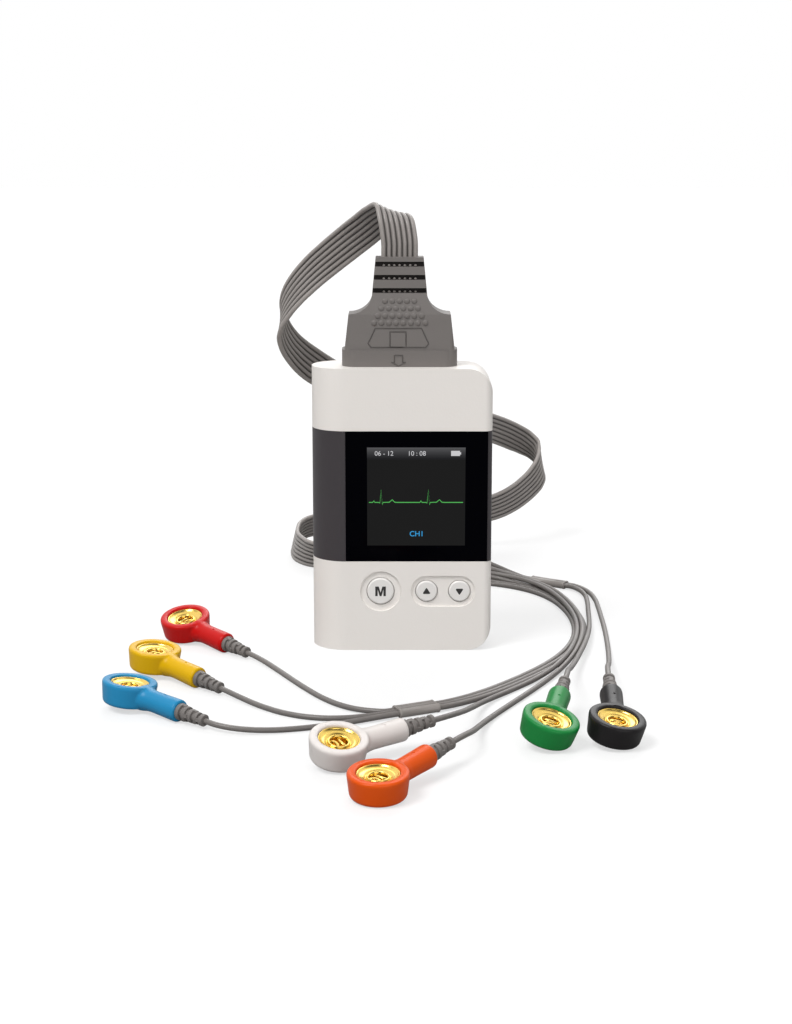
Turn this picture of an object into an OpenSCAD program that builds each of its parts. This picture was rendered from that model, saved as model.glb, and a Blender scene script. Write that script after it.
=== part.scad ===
// Wearable ECG home monitor: a pocket recorder with a screen and three keys,
// a seven-wire ribbon cable plugged into its top, and seven snap leads.
// Millimetres. Origin at the centre of the recorder's foot, +Z up, front towards -Y.

/* [Recorder case] */
// Width across the front
rec_w = 49; // [48:0.5:54]
// Depth over the rounded battery spine, front to back
rec_d = 18.5; // [18.5:0.5:20]
// Height standing on its foot
rec_h = 78; // [78:1:90]
// Step from the top of the spine down to the flat back
back_step = 2; // [1:0.5:2.5]
// Wall of the two case shells
wall = 1.6; // [1.4:0.1:1.8]
// Thickness of the front wall behind the window and the keys
front_t = 2.4; // [2.3:0.1:2.8]
// Radius of the two right corners seen from the front
corner_r = 6.8; // [5:0.2:9]
// Radius of the vertical edges on the right
edge_r = 2.2; // [2:0.1:3]

/* [Band and window] */
// Lower seam between the white case and the dark band
band_z0 = 25.1; // [24:0.1:26]
// Upper seam of the dark band
band_z1 = 61.1; // [60.5:0.1:62]
// Thickness of the dark band
band_t = 0.8; // [0.6:0.1:0.9]
// Dark band left bare between the case's left side and the window
lens_left = 9.2; // [8.5:0.1:10.5]
// Dark band left bare between the window and the case's right side
lens_right = 1.2; // [1:0.1:2.5]
// Thickness of the black window
lens_t = 0.8; // [0.6:0.1:0.9]
// Width of the display glass
lcd_w = 29.6; // [28:0.2:30]
// Height of the display glass
lcd_h = 31; // [30:0.2:32]
// Thickness of the display module
lcd_t = 2; // [1.6:0.1:2.2]
// Centre of the display, left to right
lcd_x = 3.9; // [3.6:0.1:4.2]
// Centre of the display above the foot
lcd_z = 43.1; // [42:0.1:44]
// Foam gasket round the display
gasket_t = 0.3; // [0.2:0.1:0.5]

/* [Keys] */
// Radius of the menu key
menu_r = 3.7; // [3:0.1:4]
// Radius of the two arrow keys
arrow_r = 2.95; // [2.5:0.05:3.2]
// Centre of the menu key from the case's left side
menu_left = 18.7; // [18:0.1:19.5]
// Centre of the down key from the case's right side
down_right = 8.7; // [8.1:0.1:9.3]
// Distance from the up key to the down key
arrow_pitch = 9; // [8.4:0.1:9.6]
// Height of the keys above the foot
key_z = 16.7; // [16:0.1:17.5]
// Radius of the round dish under the menu key
dish_r = 5.6; // [5:0.1:6]
// Half height of the long dish under the arrow keys
pill_r = 4.3; // [4:0.1:4.6]
// Depth of both dishes
dish_t = 0.5; // [0.3:0.1:0.6]
// Travel of each key
key_travel = 0.5; // [0.3:0.1:0.5]
// Radial gap between a key and its hole
key_gap = 0.15; // [0.1:0.05:0.25]

/* [Battery] */
// Radial play of the round cell in its compartment
cell_gap = 0.55; // [0.45:0.05:0.75]
// Height of the case that is left above and below the cell
cell_margin = 27.5; // [26.5:0.5:29]
// Height of the compartment's lower end wall
bay_z0 = 9; // [8.5:0.5:10]
// Lower end of the sliding battery door
door_z0 = 9; // [8:0.5:9]
// First and last angle of the door round the spine
door_a0 = 93; // [92:1:96]
door_a1 = 177; // [172:1:177]
// Gap round the door
door_gap = 0.15; // [0.1:0.05:0.3]

/* [Circuit board] */
// Board thickness
pcb_t = 1; // [0.8:0.1:1.6]
// Front face of the board behind the case's middle plane
pcb_y = -1.2; // [-1.6:0.1:-1]

/* [Cable plug] */
// Centre of the plug, left to right
plug_x = -0.6; // [-1:0.1:0]
// Width and thickness of the collar
collar_w = 31.2; // [29:0.2:32]
collar_d = 11; // [10:0.2:12]
// Height of the collar
collar_h = 4.5; // [4:0.1:5]
// Width at the foot and at the top of the body
body_w = 29.7; // [28:0.1:30]
body_top_w = 27.5; // [26:0.1:28]
// Height of the body over the collar
body_h = 9.6; // [9:0.1:10]
// Height of the hollow shoulders
shoulder_h = 5.4; // [4.5:0.1:6]
// Width at the foot and at the top of the neck
neck_w = 14.8; // [14:0.1:16]
neck_top_w = 12.9; // [12.4:0.1:13.5]
// Height of the neck
neck_h = 9.7; // [9:0.1:10.5]
// Width and thickness of the tongue that enters the recorder
tongue_w = 20.4; // [19:0.2:21]
tongue_d = 5.4; // [5:0.1:5.6]
// Length of the tongue below the collar
tongue_h = 8.7; // [8:0.1:9]
// Gap between the tongue and its socket
tongue_gap = 0.2; // [0.1:0.05:0.3]
// Number of contacts
pin_count = 14; // [8:1:14]
// Distance from contact to contact
pin_pitch = 1.3; // [1.1:0.05:1.35]

/* [Leads] */
// Width over the seven wires of the ribbon
ribbon_w = 9.9; // [9.8:0.1:10.4]
// Thickness of the ribbon and diameter of each lead
lead_d = 1.4; // [1.2:0.05:1.45]

/* [Snap connectors] */
// Radius of the round head
head_r = 6.9; // [6.6:0.1:7.2]
// Height of the head
head_h = 5.9; // [5.6:0.1:6.2]
// Radius of the recess that holds the metal socket
cup_r = 4.85; // [4.6:0.05:5]
// Plastic left under the metal socket
floor_t = 1.8; // [1.6:0.1:2]
// Radius of the bore that takes the electrode's stud
stud_r = 2; // [1.9:0.05:2.1]
// Depth of that bore
stud_h = 2.5; // [2:0.1:2.6]
// Radius of the barrel
barrel_r = 2.8; // [2.6:0.05:2.9]
// End of the barrel from the head's centre
barrel_end = 18; // [16:0.5:19]
// Length of the ribbed strain relief
relief_len = 8.5; // [8:0.5:9]

/* [Hidden] */

$fn = 64;
tiny = 0.01;

// Planes of the case, front to back
front_y = -rec_d / 2;
split_y = 0;
spine_r = rec_d / 2;
spine_x = -rec_w / 2 + spine_r;
back_y = rec_d / 2 - back_step;
inner_front_y = front_y + front_t;
inner_back_y = back_y - wall;
inner_top_z = rec_h - wall;

// The display stands straight behind the window
lens_back_y = front_y + lens_t;
frame_t = 0.6;
lcd_y = lens_back_y + gasket_t;
lcd_back_y = lcd_y + lcd_t;
lcd_gap = 0.15;
lens_gap = 0.05;

// Keys, front to back
key_face_y = front_y;
key_flange = 0.8;
key_flange_t = 0.7;
key_flange_y = inner_front_y;
key_stem_r = 1.4;
plunger_r = 0.9;
plunger_gap = 0.1;
switch_t = 1.6;
switch_w = 4.5;
switch_y = pcb_y - switch_t;
stem_end_y = switch_y - key_travel;
plunger_end_y = pcb_y - 0.7;
menu_x = menu_left - rec_w / 2;
down_x = rec_w / 2 - down_right;
up_x = down_x - arrow_pitch;
keys = [[menu_x, menu_r], [up_x, arrow_r], [down_x, arrow_r]];
lens_x0 = lens_left - rec_w / 2;
lens_x1 = rec_w / 2 - lens_right;

// Battery compartment
cell_h = rec_h - cell_margin;
bay_wall = 1.5;
bay_r = spine_r - wall;
cell_r = bay_r - cell_gap;
contact_t = 0.6;
contact_nub = 1.1;
cell_z0 = bay_z0 + bay_wall + contact_t + contact_nub;
cell_z1 = cell_z0 + cell_h;
bay_z1 = cell_z1 + contact_t;
partition_x = spine_x + cell_r + 0.6;
partition_t = 1;
nub_r = 2.75;
nub_h = 1.2;

// The door slides on a tongue along each long edge
rail_t = 0.6;
rail_a = 4;
rail_gap = 0.1;
door_r0 = spine_r - wall;

// Board, its fasteners and the connector on its top edge
pcb_gap = 0.4;
housing_wall = 2;
housing_z0 = rec_h - wall - tongue_h - 0.2;
pcb_x0 = partition_x + partition_t + 0.3;
pcb_x1 = rec_w / 2 - wall - pcb_gap;
pcb_z0 = wall + pcb_gap + 1;
pcb_z1 = housing_z0 - 0.2;
tab_x0 = plug_x - pin_count * pin_pitch / 2 - 0.6;
screw_r = 0.75;
screw_head_r = 1.5;
screw_head_h = 1.1;
screw_seat_y = back_y - screw_head_h - 0.2;
boss_r = 1.8;
rear_boss_r = 2.3;
screw_left_x = pcb_x0 + boss_r;
screw_right_x = rec_w / 2 - wall - boss_r - 0.3;
screw_low_z = 6;
screw_high_z = lcd_z + lcd_h / 2 + boss_r + 2.6;
screws = [
    [screw_left_x, screw_low_z], [screw_right_x, screw_low_z],
    [screw_left_x, screw_high_z], [screw_right_x, screw_high_z]
];

// Contacts of the socket and of the plug lie face to face
pin_w = 0.5;
pin_t = 0.3;
pin_y = pcb_y - pin_t;
tab_z0 = bay_z1 + bay_wall + 0.2;
pin_z0 = bay_z1 + bay_wall + 0.5;
pin_z1 = rec_h - 3;
contact_y = pcb_y + 0.05;
contact_w = 0.55;
slot_w = pin_count * pin_pitch + 0.8;
tongue_z0 = rec_h - tongue_h;

// Plug, foot to top
collar_z1 = rec_h + collar_h;
body_z1 = collar_z1 + body_h;
neck_z0 = body_z1 + shoulder_h;
neck_z1 = neck_z0 + neck_h;
body_d = collar_d - 1;
body_top_d = body_d - 0.8;
neck_d = 6.6;
neck_top_d = 5.4;
plug_round = 4;
groove_h = 1.3;
groove_depth = 1.1;
groove_foot = 0.2;
groove_step = 3.5;
groove_z = [for (i = [0:2]) neck_z0 + groove_foot + i * groove_step];
tongue_root = 6;

// Flat seven-wire ribbon: each row is a centre point and the direction across the ribbon,
// from the plug, over the top, down behind the recorder in two loops, to the floor.
ribbon_route = [
    [[plug_x, 0, neck_z1], [1, 0, 0]],
    [[plug_x, 0, 108.6], [1, 0, 0]],
    [[plug_x, 0, 110.4], [1, 0, 0]],
    [[-0.9, 0.4, 113.2], [1, 0.05, -0.05]],
    [[-1.5, 1.6, 116.4], [0.98, 0.08, -0.14]],
    [[-2.9, 5.2, 118.8], [0.95, 0.05, -0.32]],
    [[-6.2, 10, 117], [0.82, 0.1, -0.5]],
    [[-10.2, 14.8, 113.5], [0.68, 0, -0.7]],
    [[-14.2, 18.8, 110.2], [0.62, -0.15, -0.73]],
    [[-19.9, 21.8, 105.5], [0.62, -0.3, -0.71]],
    [[-24.1, 23, 101.9], [0.64, -0.43, -0.63]],
    [[-27.9, 23.6, 98.1], [0.6, -0.58, -0.53]],
    [[-30.9, 24.2, 94.4], [0.48, -0.73, -0.48]],
    [[-32.9, 25.1, 90.8], [0.3, -0.87, -0.4]],
    [[-33.9, 26.3, 87.6], [0.04, -0.92, -0.38]],
    [[-33.8, 27.8, 84.4], [-0.24, -0.87, -0.42]],
    [[-32.3, 29.7, 80.5], [-0.43, -0.79, -0.44]],
    [[-29.6, 32, 76.8], [-0.58, -0.68, -0.45]],
    [[-26, 35.6, 73.2], [-0.7, -0.5, -0.5]],
    [[-21.4, 41.4, 69.4], [-0.78, -0.3, -0.54]],
    [[-13, 53.6, 64.2], [-0.75, -0.15, -0.62]],
    [[0, 73.6, 56.9], [-0.62, -0.1, -0.76]],
    [[17, 99.4, 47.7], [-0.5, 0, -0.85]],
    [[27, 114.4, 42.4], [-0.42, 0.1, -0.9]],
    [[33.8, 123.8, 38.7], [-0.36, 0.2, -0.91]],
    [[38.6, 129.4, 35.8], [-0.32, 0.33, -0.88]],
    [[43, 132.8, 32.9], [-0.23, 0.48, -0.84]],
    [[46, 133.2, 30.5], [-0.1, 0.58, -0.81]],
    [[47.6, 131.6, 28.5], [0.04, 0.6, -0.8]],
    [[48.1, 128.8, 26.8], [0.2, 0.6, -0.77]],
    [[47.6, 125.4, 24.9], [0.4, 0.58, -0.7]],
    [[45.8, 122.2, 22.5], [0.52, 0.5, -0.69]],
    [[42.7, 119.8, 19.8], [0.53, 0.45, -0.72]],
    [[38.7, 118.2, 17], [0.46, 0.4, -0.79]],
    [[33.8, 117, 14.6], [0.37, 0.35, -0.86]],
    [[21, 115.4, 12], [0.2, 0.3, -0.93]],
    [[6, 114.6, 10.6], [0.05, 0.27, -0.96]],
    [[-9, 114.6, 9.8], [0, 0.3, -0.95]],
    [[-21, 114.9, 9], [-0.02, 0.4, -0.91]],
    [[-27.5, 114.3, 8.5], [-0.05, 0.5, -0.86]],
    [[-31.6, 112.6, 7.8], [-0.1, 0.52, -0.85]],
    [[-34.1, 109.2, 6.8], [-0.15, 0.48, -0.87]],
    [[-35, 104.2, 5.8], [-0.2, 0.46, -0.86]],
    [[-34.6, 98, 5.1], [-0.22, 0.46, -0.86]],
    [[-32.8, 92, 5.05], [-0.22, 0.48, -0.85]],
    [[-29.6, 86.6, 4.95], [-0.18, 0.52, -0.83]],
    [[-24.6, 82.6, 4.85], [-0.1, 0.44, -0.89]],
    [[-17, 79.2, 5], [-0.05, 0.3, -0.95]],
    [[-8.5, 76.1, 5.1], [0, 0.15, -0.98]],
    [[0, 73.2, 5.15], [0, 0, -1]],
    [[8, 70.2, 5.15], [0, 0, -1]]
];

// Placing of each snap: x, y, turn about Z, then lean about X and about Y
place_black = [49.4, -88.9, 89, 9.3, 9.9];
place_green = [33.4, -90.1, 79.5, 10.8, 14.5];
place_orange = [-5.4, -125.0, 52, 6.3, 0.0];
place_white = [-15, -103.9, 36, 14.7, 6.4];
place_blue = [-68.3, -61.1, -39, -1.3, 6.7];
place_yellow = [-65.4, -32.3, -43.8, 3.1, 4.8];
place_red = [-60.1, 1.2, -46.8, 13.0, -5.5];

// Two sleeves hold leads side by side: each row is the middle of one end
sleeve_pair_ends = [[40.9, 66.6, 1.1], [51.3, 59.5, 1.1]];
sleeve_trio_ends = [[8.4, -62.7, 1.1], [-1.5, -67.6, 1.1]];
sleeve_pitch = 1.5;
sleeve_wall = 0.4;
sleeve_lead_in = 2;

// Routes of the leads, from the end of the ribbon to just before each strain relief
route_black = concat(
    [
        [11.77, 68.99, 9.61], [17.25, 68.81, 9.1], [24.11, 69.8, 7.09], [30.72, 70.42, 4.23],
        [35.82, 69.76, 2.16]
    ],
    sleeve_run(sleeve_pair_ends, 2, 1),
    [
        [55.62, 55.94, 1.04], [57.61, 50.77, 0.94], [58.55, 43.61, 0.83], [58.6, 33.13, 0.76],
        [58.35, 22.68, 0.76], [58.07, 13.06, 0.76], [57.6, 2.66, 0.76], [56.93, -7.71, 0.84],
        [56.07, -18.06, 1.35], [55.02, -28.32, 2.58], [53.78, -38.43, 4.58], [52.46, -48.4, 7.13],
        [51.55, -56.13, 8.76]
    ]
);
route_green = concat(
    [
        [11.78, 69.01, 8.12], [16.49, 68.63, 7.72], [22.71, 69.01, 6.21], [30.28, 69.21, 3.48],
        [34.78, 68.54, 1.99]
    ],
    sleeve_run(sleeve_pair_ends, 2, 0),
    [
        [54.78, 53.9, 1.04], [55.98, 48.47, 0.93], [55.99, 40.37, 0.8], [55.25, 29.88, 0.81],
        [54.47, 19.43, 1.08], [53.46, 9.05, 1.55], [52.12, -0.47, 1.98], [50.24, -10.72, 2.3],
        [47.97, -20.89, 2.51], [45.67, -31.03, 2.99], [43.76, -40.35, 4.23], [42.23, -50.33, 6.68],
        [41.3, -58.04, 8.45]
    ]
);
route_orange = [
    [11.75, 68.86, 6.64], [18.01, 67.93, 6.16], [26.63, 67.36, 4.75], [31.89, 66.1, 3.69],
    [36.67, 63.59, 2.82], [40.15, 60.47, 2.37], [43.76, 55.31, 2.16], [46.58, 48.72, 2.21],
    [49.04, 39.44, 2.2], [50.77, 29.16, 2.11], [51.57, 19.58, 2.09], [51.46, 9.17, 2.14],
    [50.42, -1.19, 2.25], [48.56, -11.44, 2.17], [45.73, -21.44, 1.64], [42.19, -30.35, 1.12],
    [37.73, -39.75, 0.81], [33.03, -49.05, 0.76], [28.18, -58.27, 0.76], [23.38, -67.52, 0.79],
    [19.97, -75.61, 1.23], [17.88, -83.24, 2.35], [16.06, -93.25, 4.66], [14.57, -98.5, 5.76]
];
route_white = [
    [11.81, 69.02, 5.17], [20.45, 67.66, 4.34], [28.17, 66.09, 3.34], [33.91, 63.55, 2.81],
    [38.21, 60.15, 2.53], [41.61, 55.82, 2.37], [44.73, 49.4, 2.27], [47.37, 40.18, 2.19],
    [49.17, 29.92, 2.1], [50.07, 19.55, 2.06], [49.92, 8.34, 2.12], [48.82, -2.01, 2.26],
    [46.91, -12.25, 2.35], [44.01, -22.23, 2.12], [40.09, -30.96, 1.54], [34.99, -39.06, 0.99],
    [28.24, -48.01, 0.76], [22.8, -55.91, 1.06], [19.64, -62.32, 1.78], [16.84, -71.37, 3.43],
    [14.23, -80.46, 5.35], [12.12, -84.67, 6.06]
];
route_blue = concat(
    [
        [11.73, 68.77, 3.7], [20.21, 66.7, 3.23], [29.41, 64.49, 2.2], [35.09, 61.86, 1.44],
        [39.44, 58.52, 0.99], [43.5, 53.69, 0.79], [46.88, 47.4, 0.76], [49.67, 39.08, 0.76],
        [51.64, 28.87, 0.76], [52.45, 18.51, 0.76], [52.13, 8.13, 0.76], [50.63, -2.14, 0.76],
        [47.82, -12.13, 0.76], [43.76, -21.67, 0.76], [38.68, -30.73, 0.76], [32.87, -39.36, 0.76],
        [26.61, -47.66, 0.79], [19.85, -55.56, 0.91], [13.96, -60.94, 1.05]
    ],
    sleeve_run(sleeve_trio_ends, 3, 2),
    [
        [-6.48, -71.77, 1.04], [-15.2, -75.82, 0.84], [-24.21, -79.19, 0.77], [-31.97, -81.18, 0.96],
        [-37.51, -81.62, 1.27], [-41.38, -81.11, 1.56]
    ]
);
route_yellow = concat(
    [
        [11.79, 68.94, 2.23], [21.81, 66.28, 1.6], [29.98, 63.21, 1.02], [35.4, 59.95, 0.84],
        [40.01, 55.65, 0.77], [44.02, 49.76, 0.76], [47.13, 42.44, 0.76], [49.46, 33.16, 0.76],
        [50.79, 22.05, 0.76], [50.88, 11.67, 0.76], [49.78, 1.36, 0.76], [47.38, -8.73, 0.76],
        [43.35, -19.15, 0.76], [38.45, -28.3, 0.76], [32.76, -36.99, 0.76], [26.06, -45.96, 0.78],
        [19.36, -53.91, 0.91], [13.55, -59.38, 1.05]
    ],
    sleeve_run(sleeve_trio_ends, 3, 1),
    [
        [-6.89, -70.02, 1.05], [-12.94, -71.65, 0.93], [-18.38, -71.74, 0.84], [-23.65, -70.39, 0.78],
        [-28.49, -67.81, 0.76], [-34.58, -62.77, 0.86], [-41.17, -55.86, 1.32]
    ]
);
route_red = concat(
    [
        [11.71, 68.72, 0.76], [20.7, 65.37, 0.76], [29.54, 61.71, 0.76], [34.88, 58.3, 0.76],
        [39.39, 53.86, 0.76], [42.9, 48.57, 0.76], [45.95, 41.22, 0.76], [48.18, 31.89, 0.76],
        [49.35, 21.55, 0.76], [49.37, 11.15, 0.76], [48.17, 0.82, 0.76], [45.66, -9.26, 0.76],
        [42.16, -18.2, 0.76], [37.28, -27.38, 0.76], [31.57, -36.09, 0.76], [25.36, -44.45, 0.78],
        [18.69, -52.46, 0.9], [12.92, -57.99, 1.04]
    ],
    sleeve_run(sleeve_trio_ends, 3, 0),
    [
        [-7.72, -66.55, 1.04], [-11.92, -64.5, 0.95], [-15.5, -61.32, 0.87], [-19.44, -56.2, 0.79],
        [-24.33, -47.8, 0.76], [-28.74, -39.18, 0.76], [-33.12, -30.58, 0.88], [-37.24, -23.7, 1.26]
    ]
);

// Snap details
lip_t = 0.9;
socket_lip_h = 0.5;
socket_gap = 0.05;
barrel_z = barrel_r;
relief_z = barrel_z;
relief_r0 = 2.1;
relief_r1 = 1.25;
relief_ribs = 4;
relief_lead_in = 3;

// ---------------------------------------------------------------- vectors

function unit(v) = v / norm(v);
function mix(a, b, t) = a + (b - a) * t;

// A point of a snap, turned about Z, then about X, then about Y
function turned(v, p) =
    let (
        a = [v.x * cos(p[2]) - v.y * sin(p[2]), v.x * sin(p[2]) + v.y * cos(p[2]), v.z],
        b = [a.x, a.y * cos(p[3]) - a.z * sin(p[3]), a.y * sin(p[3]) + a.z * cos(p[3])]
    )
    [b.x * cos(p[4]) + b.z * sin(p[4]), b.y, -b.x * sin(p[4]) + b.z * cos(p[4])];

// A leaning snap stands on its rim or on the end of its barrel
function snap_lift(p) = max(
    head_r * sqrt(1 - pow(cos(p[3]) * cos(p[4]), 2)),
    -turned([barrel_end, 0, 0], p).z
);
function placed(v, p) = turned(v, p) + [p[0], p[1], snap_lift(p)];

// Four points that take lead n of a sleeve straight through it, n counted from the right of its run
function sleeve_run(ends, count, n) =
    let (
        t = unit(ends[1] - ends[0]),
        side = [-t.y, t.x, 0] * (n - (count - 1) / 2) * sleeve_pitch
    )
    [
        ends[0] + side - sleeve_lead_in * t, ends[0] + side,
        ends[1] + side, ends[1] + side + sleeve_lead_in * t
    ];

// Direction of a route at point i, led by the shorter of the two steps that meet there
function along(route, i) =
    let (
        last = len(route) - 1,
        before = route[max(i, 1)] - route[max(i, 1) - 1],
        after = route[min(i, last - 1) + 1] - route[min(i, last - 1)]
    )
    unit(before / pow(norm(before), 2) + after / pow(norm(after), 2));

// Point half way from point i to the next one on the smooth curve through the route
function half_way(route, i) =
    (route[i] + route[i + 1]) / 2
    + norm(route[i + 1] - route[i]) / 8 * (along(route, i) - along(route, i + 1));

// The route with the half-way points added
function smooth(route) = [
    for (i = [0:2 * len(route) - 2]) i % 2 == 0 ? route[i / 2] : half_way(route, (i - 1) / 2)
];

// ---------------------------------------------------------------- sweeps

// Side faces and end caps of a tube with the given rings of 8 points each
function tube_faces(rings, sides = 8) = concat(
    [[for (s = [0:sides - 1]) s]],
    [for (r = [0:rings - 2], s = [0:sides - 1])
        [r * sides + s, (r + 1) * sides + s, (r + 1) * sides + (s + 1) % sides]],
    [for (r = [0:rings - 2], s = [0:sides - 1])
        [r * sides + s, (r + 1) * sides + (s + 1) % sides, r * sides + (s + 1) % sides]],
    [[for (s = [sides - 1:-1:0]) (rings - 1) * sides + s]]
);

// Round lead of 8 sides along a route
module lead_tube(stops, r) {
    route = smooth(stops);
    points = [
        for (i = [0:len(route) - 1])
            let (
                t = along(route, i),
                u = unit(cross([0, 0, 1], t)),
                v = cross(t, u)
            )
            for (s = [0:7]) route[i] + r * (cos(s * 45 + 22.5) * u + sin(s * 45 + 22.5) * v)
    ];
    polyhedron(points, tube_faces(len(route)), convexity = 10);
}

// Half outline of the flat ribbon, across and through it
ribbon_edge = 0.35;
ribbon_section = [
    [-ribbon_w / 2, -lead_d / 2 + ribbon_edge], [-ribbon_w / 2 + ribbon_edge, -lead_d / 2],
    [ribbon_w / 2 - ribbon_edge, -lead_d / 2], [ribbon_w / 2, -lead_d / 2 + ribbon_edge],
    [ribbon_w / 2, lead_d / 2 - ribbon_edge], [ribbon_w / 2 - ribbon_edge, lead_d / 2],
    [-ribbon_w / 2 + ribbon_edge, lead_d / 2], [-ribbon_w / 2, lead_d / 2 - ribbon_edge]
];

module ribbon_tube() {
    centres = smooth([for (row = ribbon_route) row[0]]);
    widths = [
        for (i = [0:len(centres) - 1]) ribbon_route[floor(i / 2)][1] + ribbon_route[ceil(i / 2)][1]
    ];
    points = [
        for (i = [0:len(centres) - 1])
            let (
                t = along(centres, i),
                w0 = widths[i],
                w = unit(w0 - (w0 * t) * t),
                n = cross(w, t)
            )
            for (s = ribbon_section) centres[i] + s[0] * w + s[1] * n
    ];
    polyhedron(points, tube_faces(len(centres)), convexity = 10);
}

// ---------------------------------------------------------------- case forms

// Case seen from above, drawn in by inset; the front face may be drawn in further
module case_section(inset, front) {
    r = max(edge_r - inset, 0.4);
    x0 = spine_x;
    x1 = rec_w / 2 - inset;
    y0 = front_y + front;
    y1 = back_y - inset;
    intersection() {
        translate([spine_x, 0]) circle(r = spine_r - inset, $fn = 96);
        translate([-rec_w, front == inset ? -rec_d : y0]) square([3 * rec_w, 3 * rec_d]);
    }
    translate([x0, y0]) square([x1 - r - x0, y1 - y0]);
    translate([x0, y0 + r]) square([x1 - x0, y1 - y0 - 2 * r]);
    translate([x1 - r, y0 + r]) circle(r = r);
    translate([x1 - r, y1 - r]) circle(r = r);
}

// Case seen from the front, drawn in by inset
module case_outline(inset) {
    r = corner_r - inset;
    x0 = -rec_w / 2 + inset;
    x1 = rec_w / 2 - inset;
    z0 = inset;
    z1 = rec_h - inset;
    translate([x0, z0]) square([x1 - r - x0, z1 - z0]);
    translate([x0, z0 + r]) square([x1 - x0, z1 - z0 - 2 * r]);
    translate([x1 - r, z0 + r]) circle(r = r, $fn = 96);
    translate([x1 - r, z1 - r]) circle(r = r, $fn = 96);
}

// Block whose shape is drawn on the XZ plane, from y0 to y1
module front_block(y0, y1) {
    translate([0, y1, 0]) rotate([90, 0, 0]) linear_extrude(y1 - y0) children();
}

module case_form(inset, front) {
    intersection() {
        linear_extrude(rec_h) case_section(inset, front);
        front_block(-rec_d, rec_d) case_outline(inset);
    }
}

// Slice of everything between two heights, or on one side of the middle plane
module slab(z0, z1) {
    translate([-rec_w, -rec_d, z0]) cube([2 * rec_w, 2 * rec_d, z1 - z0]);
}

module front_half() {
    translate([-rec_w, -2 * rec_d, -1]) cube([2 * rec_w, 2 * rec_d + split_y, rec_h + 2]);
}

module rear_half() {
    translate([-rec_w, split_y, -1]) cube([2 * rec_w, 2 * rec_d, rec_h + 2]);
}

// Round bar along Y
module y_bar(x, z, r, y0, y1) {
    translate([x, y1, z]) rotate([90, 0, 0]) cylinder(r = r, h = y1 - y0);
}

// Opening in the top wall for the plug's tongue
module tongue_opening() {
    translate([plug_x - tongue_w / 2 - tongue_gap, -tongue_d / 2 - tongue_gap, inner_top_z - 1])
        cube([tongue_w + 2 * tongue_gap, tongue_d + 2 * tongue_gap, wall + 2]);
}

// Where the dark band and the window sit in the front cover
module band_space() {
    intersection() {
        union() {
            difference() {
                case_form(0, 0);
                case_form(band_t, band_t);
            }
            translate([lens_x0, front_y, 0]) cube([lens_x1 - lens_x0, lens_t + frame_t, rec_h]);
        }
        slab(band_z0, band_z1);
        front_half();
    }
}

module lens_block(gap) {
    translate([lens_x0 + gap, front_y, band_z0 + gap])
        cube([lens_x1 - lens_x0 - 2 * gap, lens_t, band_z1 - band_z0 - 2 * gap]);
}

module lcd_window() {
    translate([lcd_x - lcd_w / 2 - lcd_gap, front_y - 1, lcd_z - lcd_h / 2 - lcd_gap])
        cube([lcd_w + 2 * lcd_gap, front_t + 2, lcd_h + 2 * lcd_gap]);
}

// Ring sector seen from above, centred on the spine
module spine_sector(r0, r1, a0, a1) {
    reach = 2 * spine_r;
    translate([spine_x, 0]) intersection() {
        difference() {
            circle(r = r1, $fn = 96);
            circle(r = r0, $fn = 96);
        }
        polygon([
            [0, 0], reach * [cos(a0), sin(a0)],
            reach * [cos((a0 + a1) / 2), sin((a0 + a1) / 2)], reach * [cos(a1), sin(a1)]
        ]);
    }
}

// ---------------------------------------------------------------- recorder

module front_cover() color([0.9, 0.88, 0.86]) {
    difference() {
        union() {
            difference() {
                intersection() {
                    case_form(0, 0);
                    front_half();
                }
                case_form(wall, front_t);
                bay_space();
            }
            for (s = screws) y_bar(s[0], s[1], boss_r, inner_front_y - tiny, pcb_y);
        }
        band_space();
        lcd_window();
        tongue_opening();
        for (k = keys) y_bar(k[0], key_z, k[1] + key_gap, front_y - 1, inner_front_y + tiny);
        y_bar(menu_x, key_z, dish_r, front_y - 1, front_y + dish_t);
        y_bar(up_x, key_z, pill_r, front_y - 1, front_y + dish_t);
        y_bar(down_x, key_z, pill_r, front_y - 1, front_y + dish_t);
        translate([up_x, front_y - 1, key_z - pill_r]) cube([down_x - up_x, dish_t + 1, 2 * pill_r]);
        for (s = screws) y_bar(s[0], s[1], screw_r, inner_front_y + 0.8, pcb_y + 1);
        door_space();
    }
}

// Round hollow of the battery compartment, down to the same wall as the rest of the spine
module bay_space() {
    translate([spine_x, 0, bay_z0]) cylinder(r = bay_r, h = bay_z1 + bay_wall - bay_z0, $fn = 96);
}

// Everything that the closed door fills, with a gap beside it; its foot stands on the case
module door_space() {
    gap_a = atan(door_gap / door_r0);
    translate([0, 0, door_z0]) linear_extrude(rec_h) {
        spine_sector(door_r0 - rail_gap, spine_r + 1, door_a0 - gap_a, door_a1 + gap_a);
        spine_sector(
            door_r0 - rail_gap, door_r0 + rail_t + rail_gap,
            door_a0 - rail_a - gap_a, door_a1 + rail_a + gap_a
        );
    }
}

module rear_cover() color([0.87, 0.85, 0.83]) {
    difference() {
        union() {
            difference() {
                intersection() {
                    case_form(0, 0);
                    rear_half();
                }
                case_form(wall, wall);
            }
            for (s = screws) y_bar(s[0], s[1], rear_boss_r, pcb_y + pcb_t, inner_back_y + 0.5);
            bay_walls();
        }
        door_space();
        tongue_opening();
        for (s = screws) {
            y_bar(s[0], s[1], screw_r + 0.1, -rec_d, rec_d);
            y_bar(s[0], s[1], screw_head_r + 0.1, screw_seat_y, rec_d);
        }
    }
}

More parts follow.
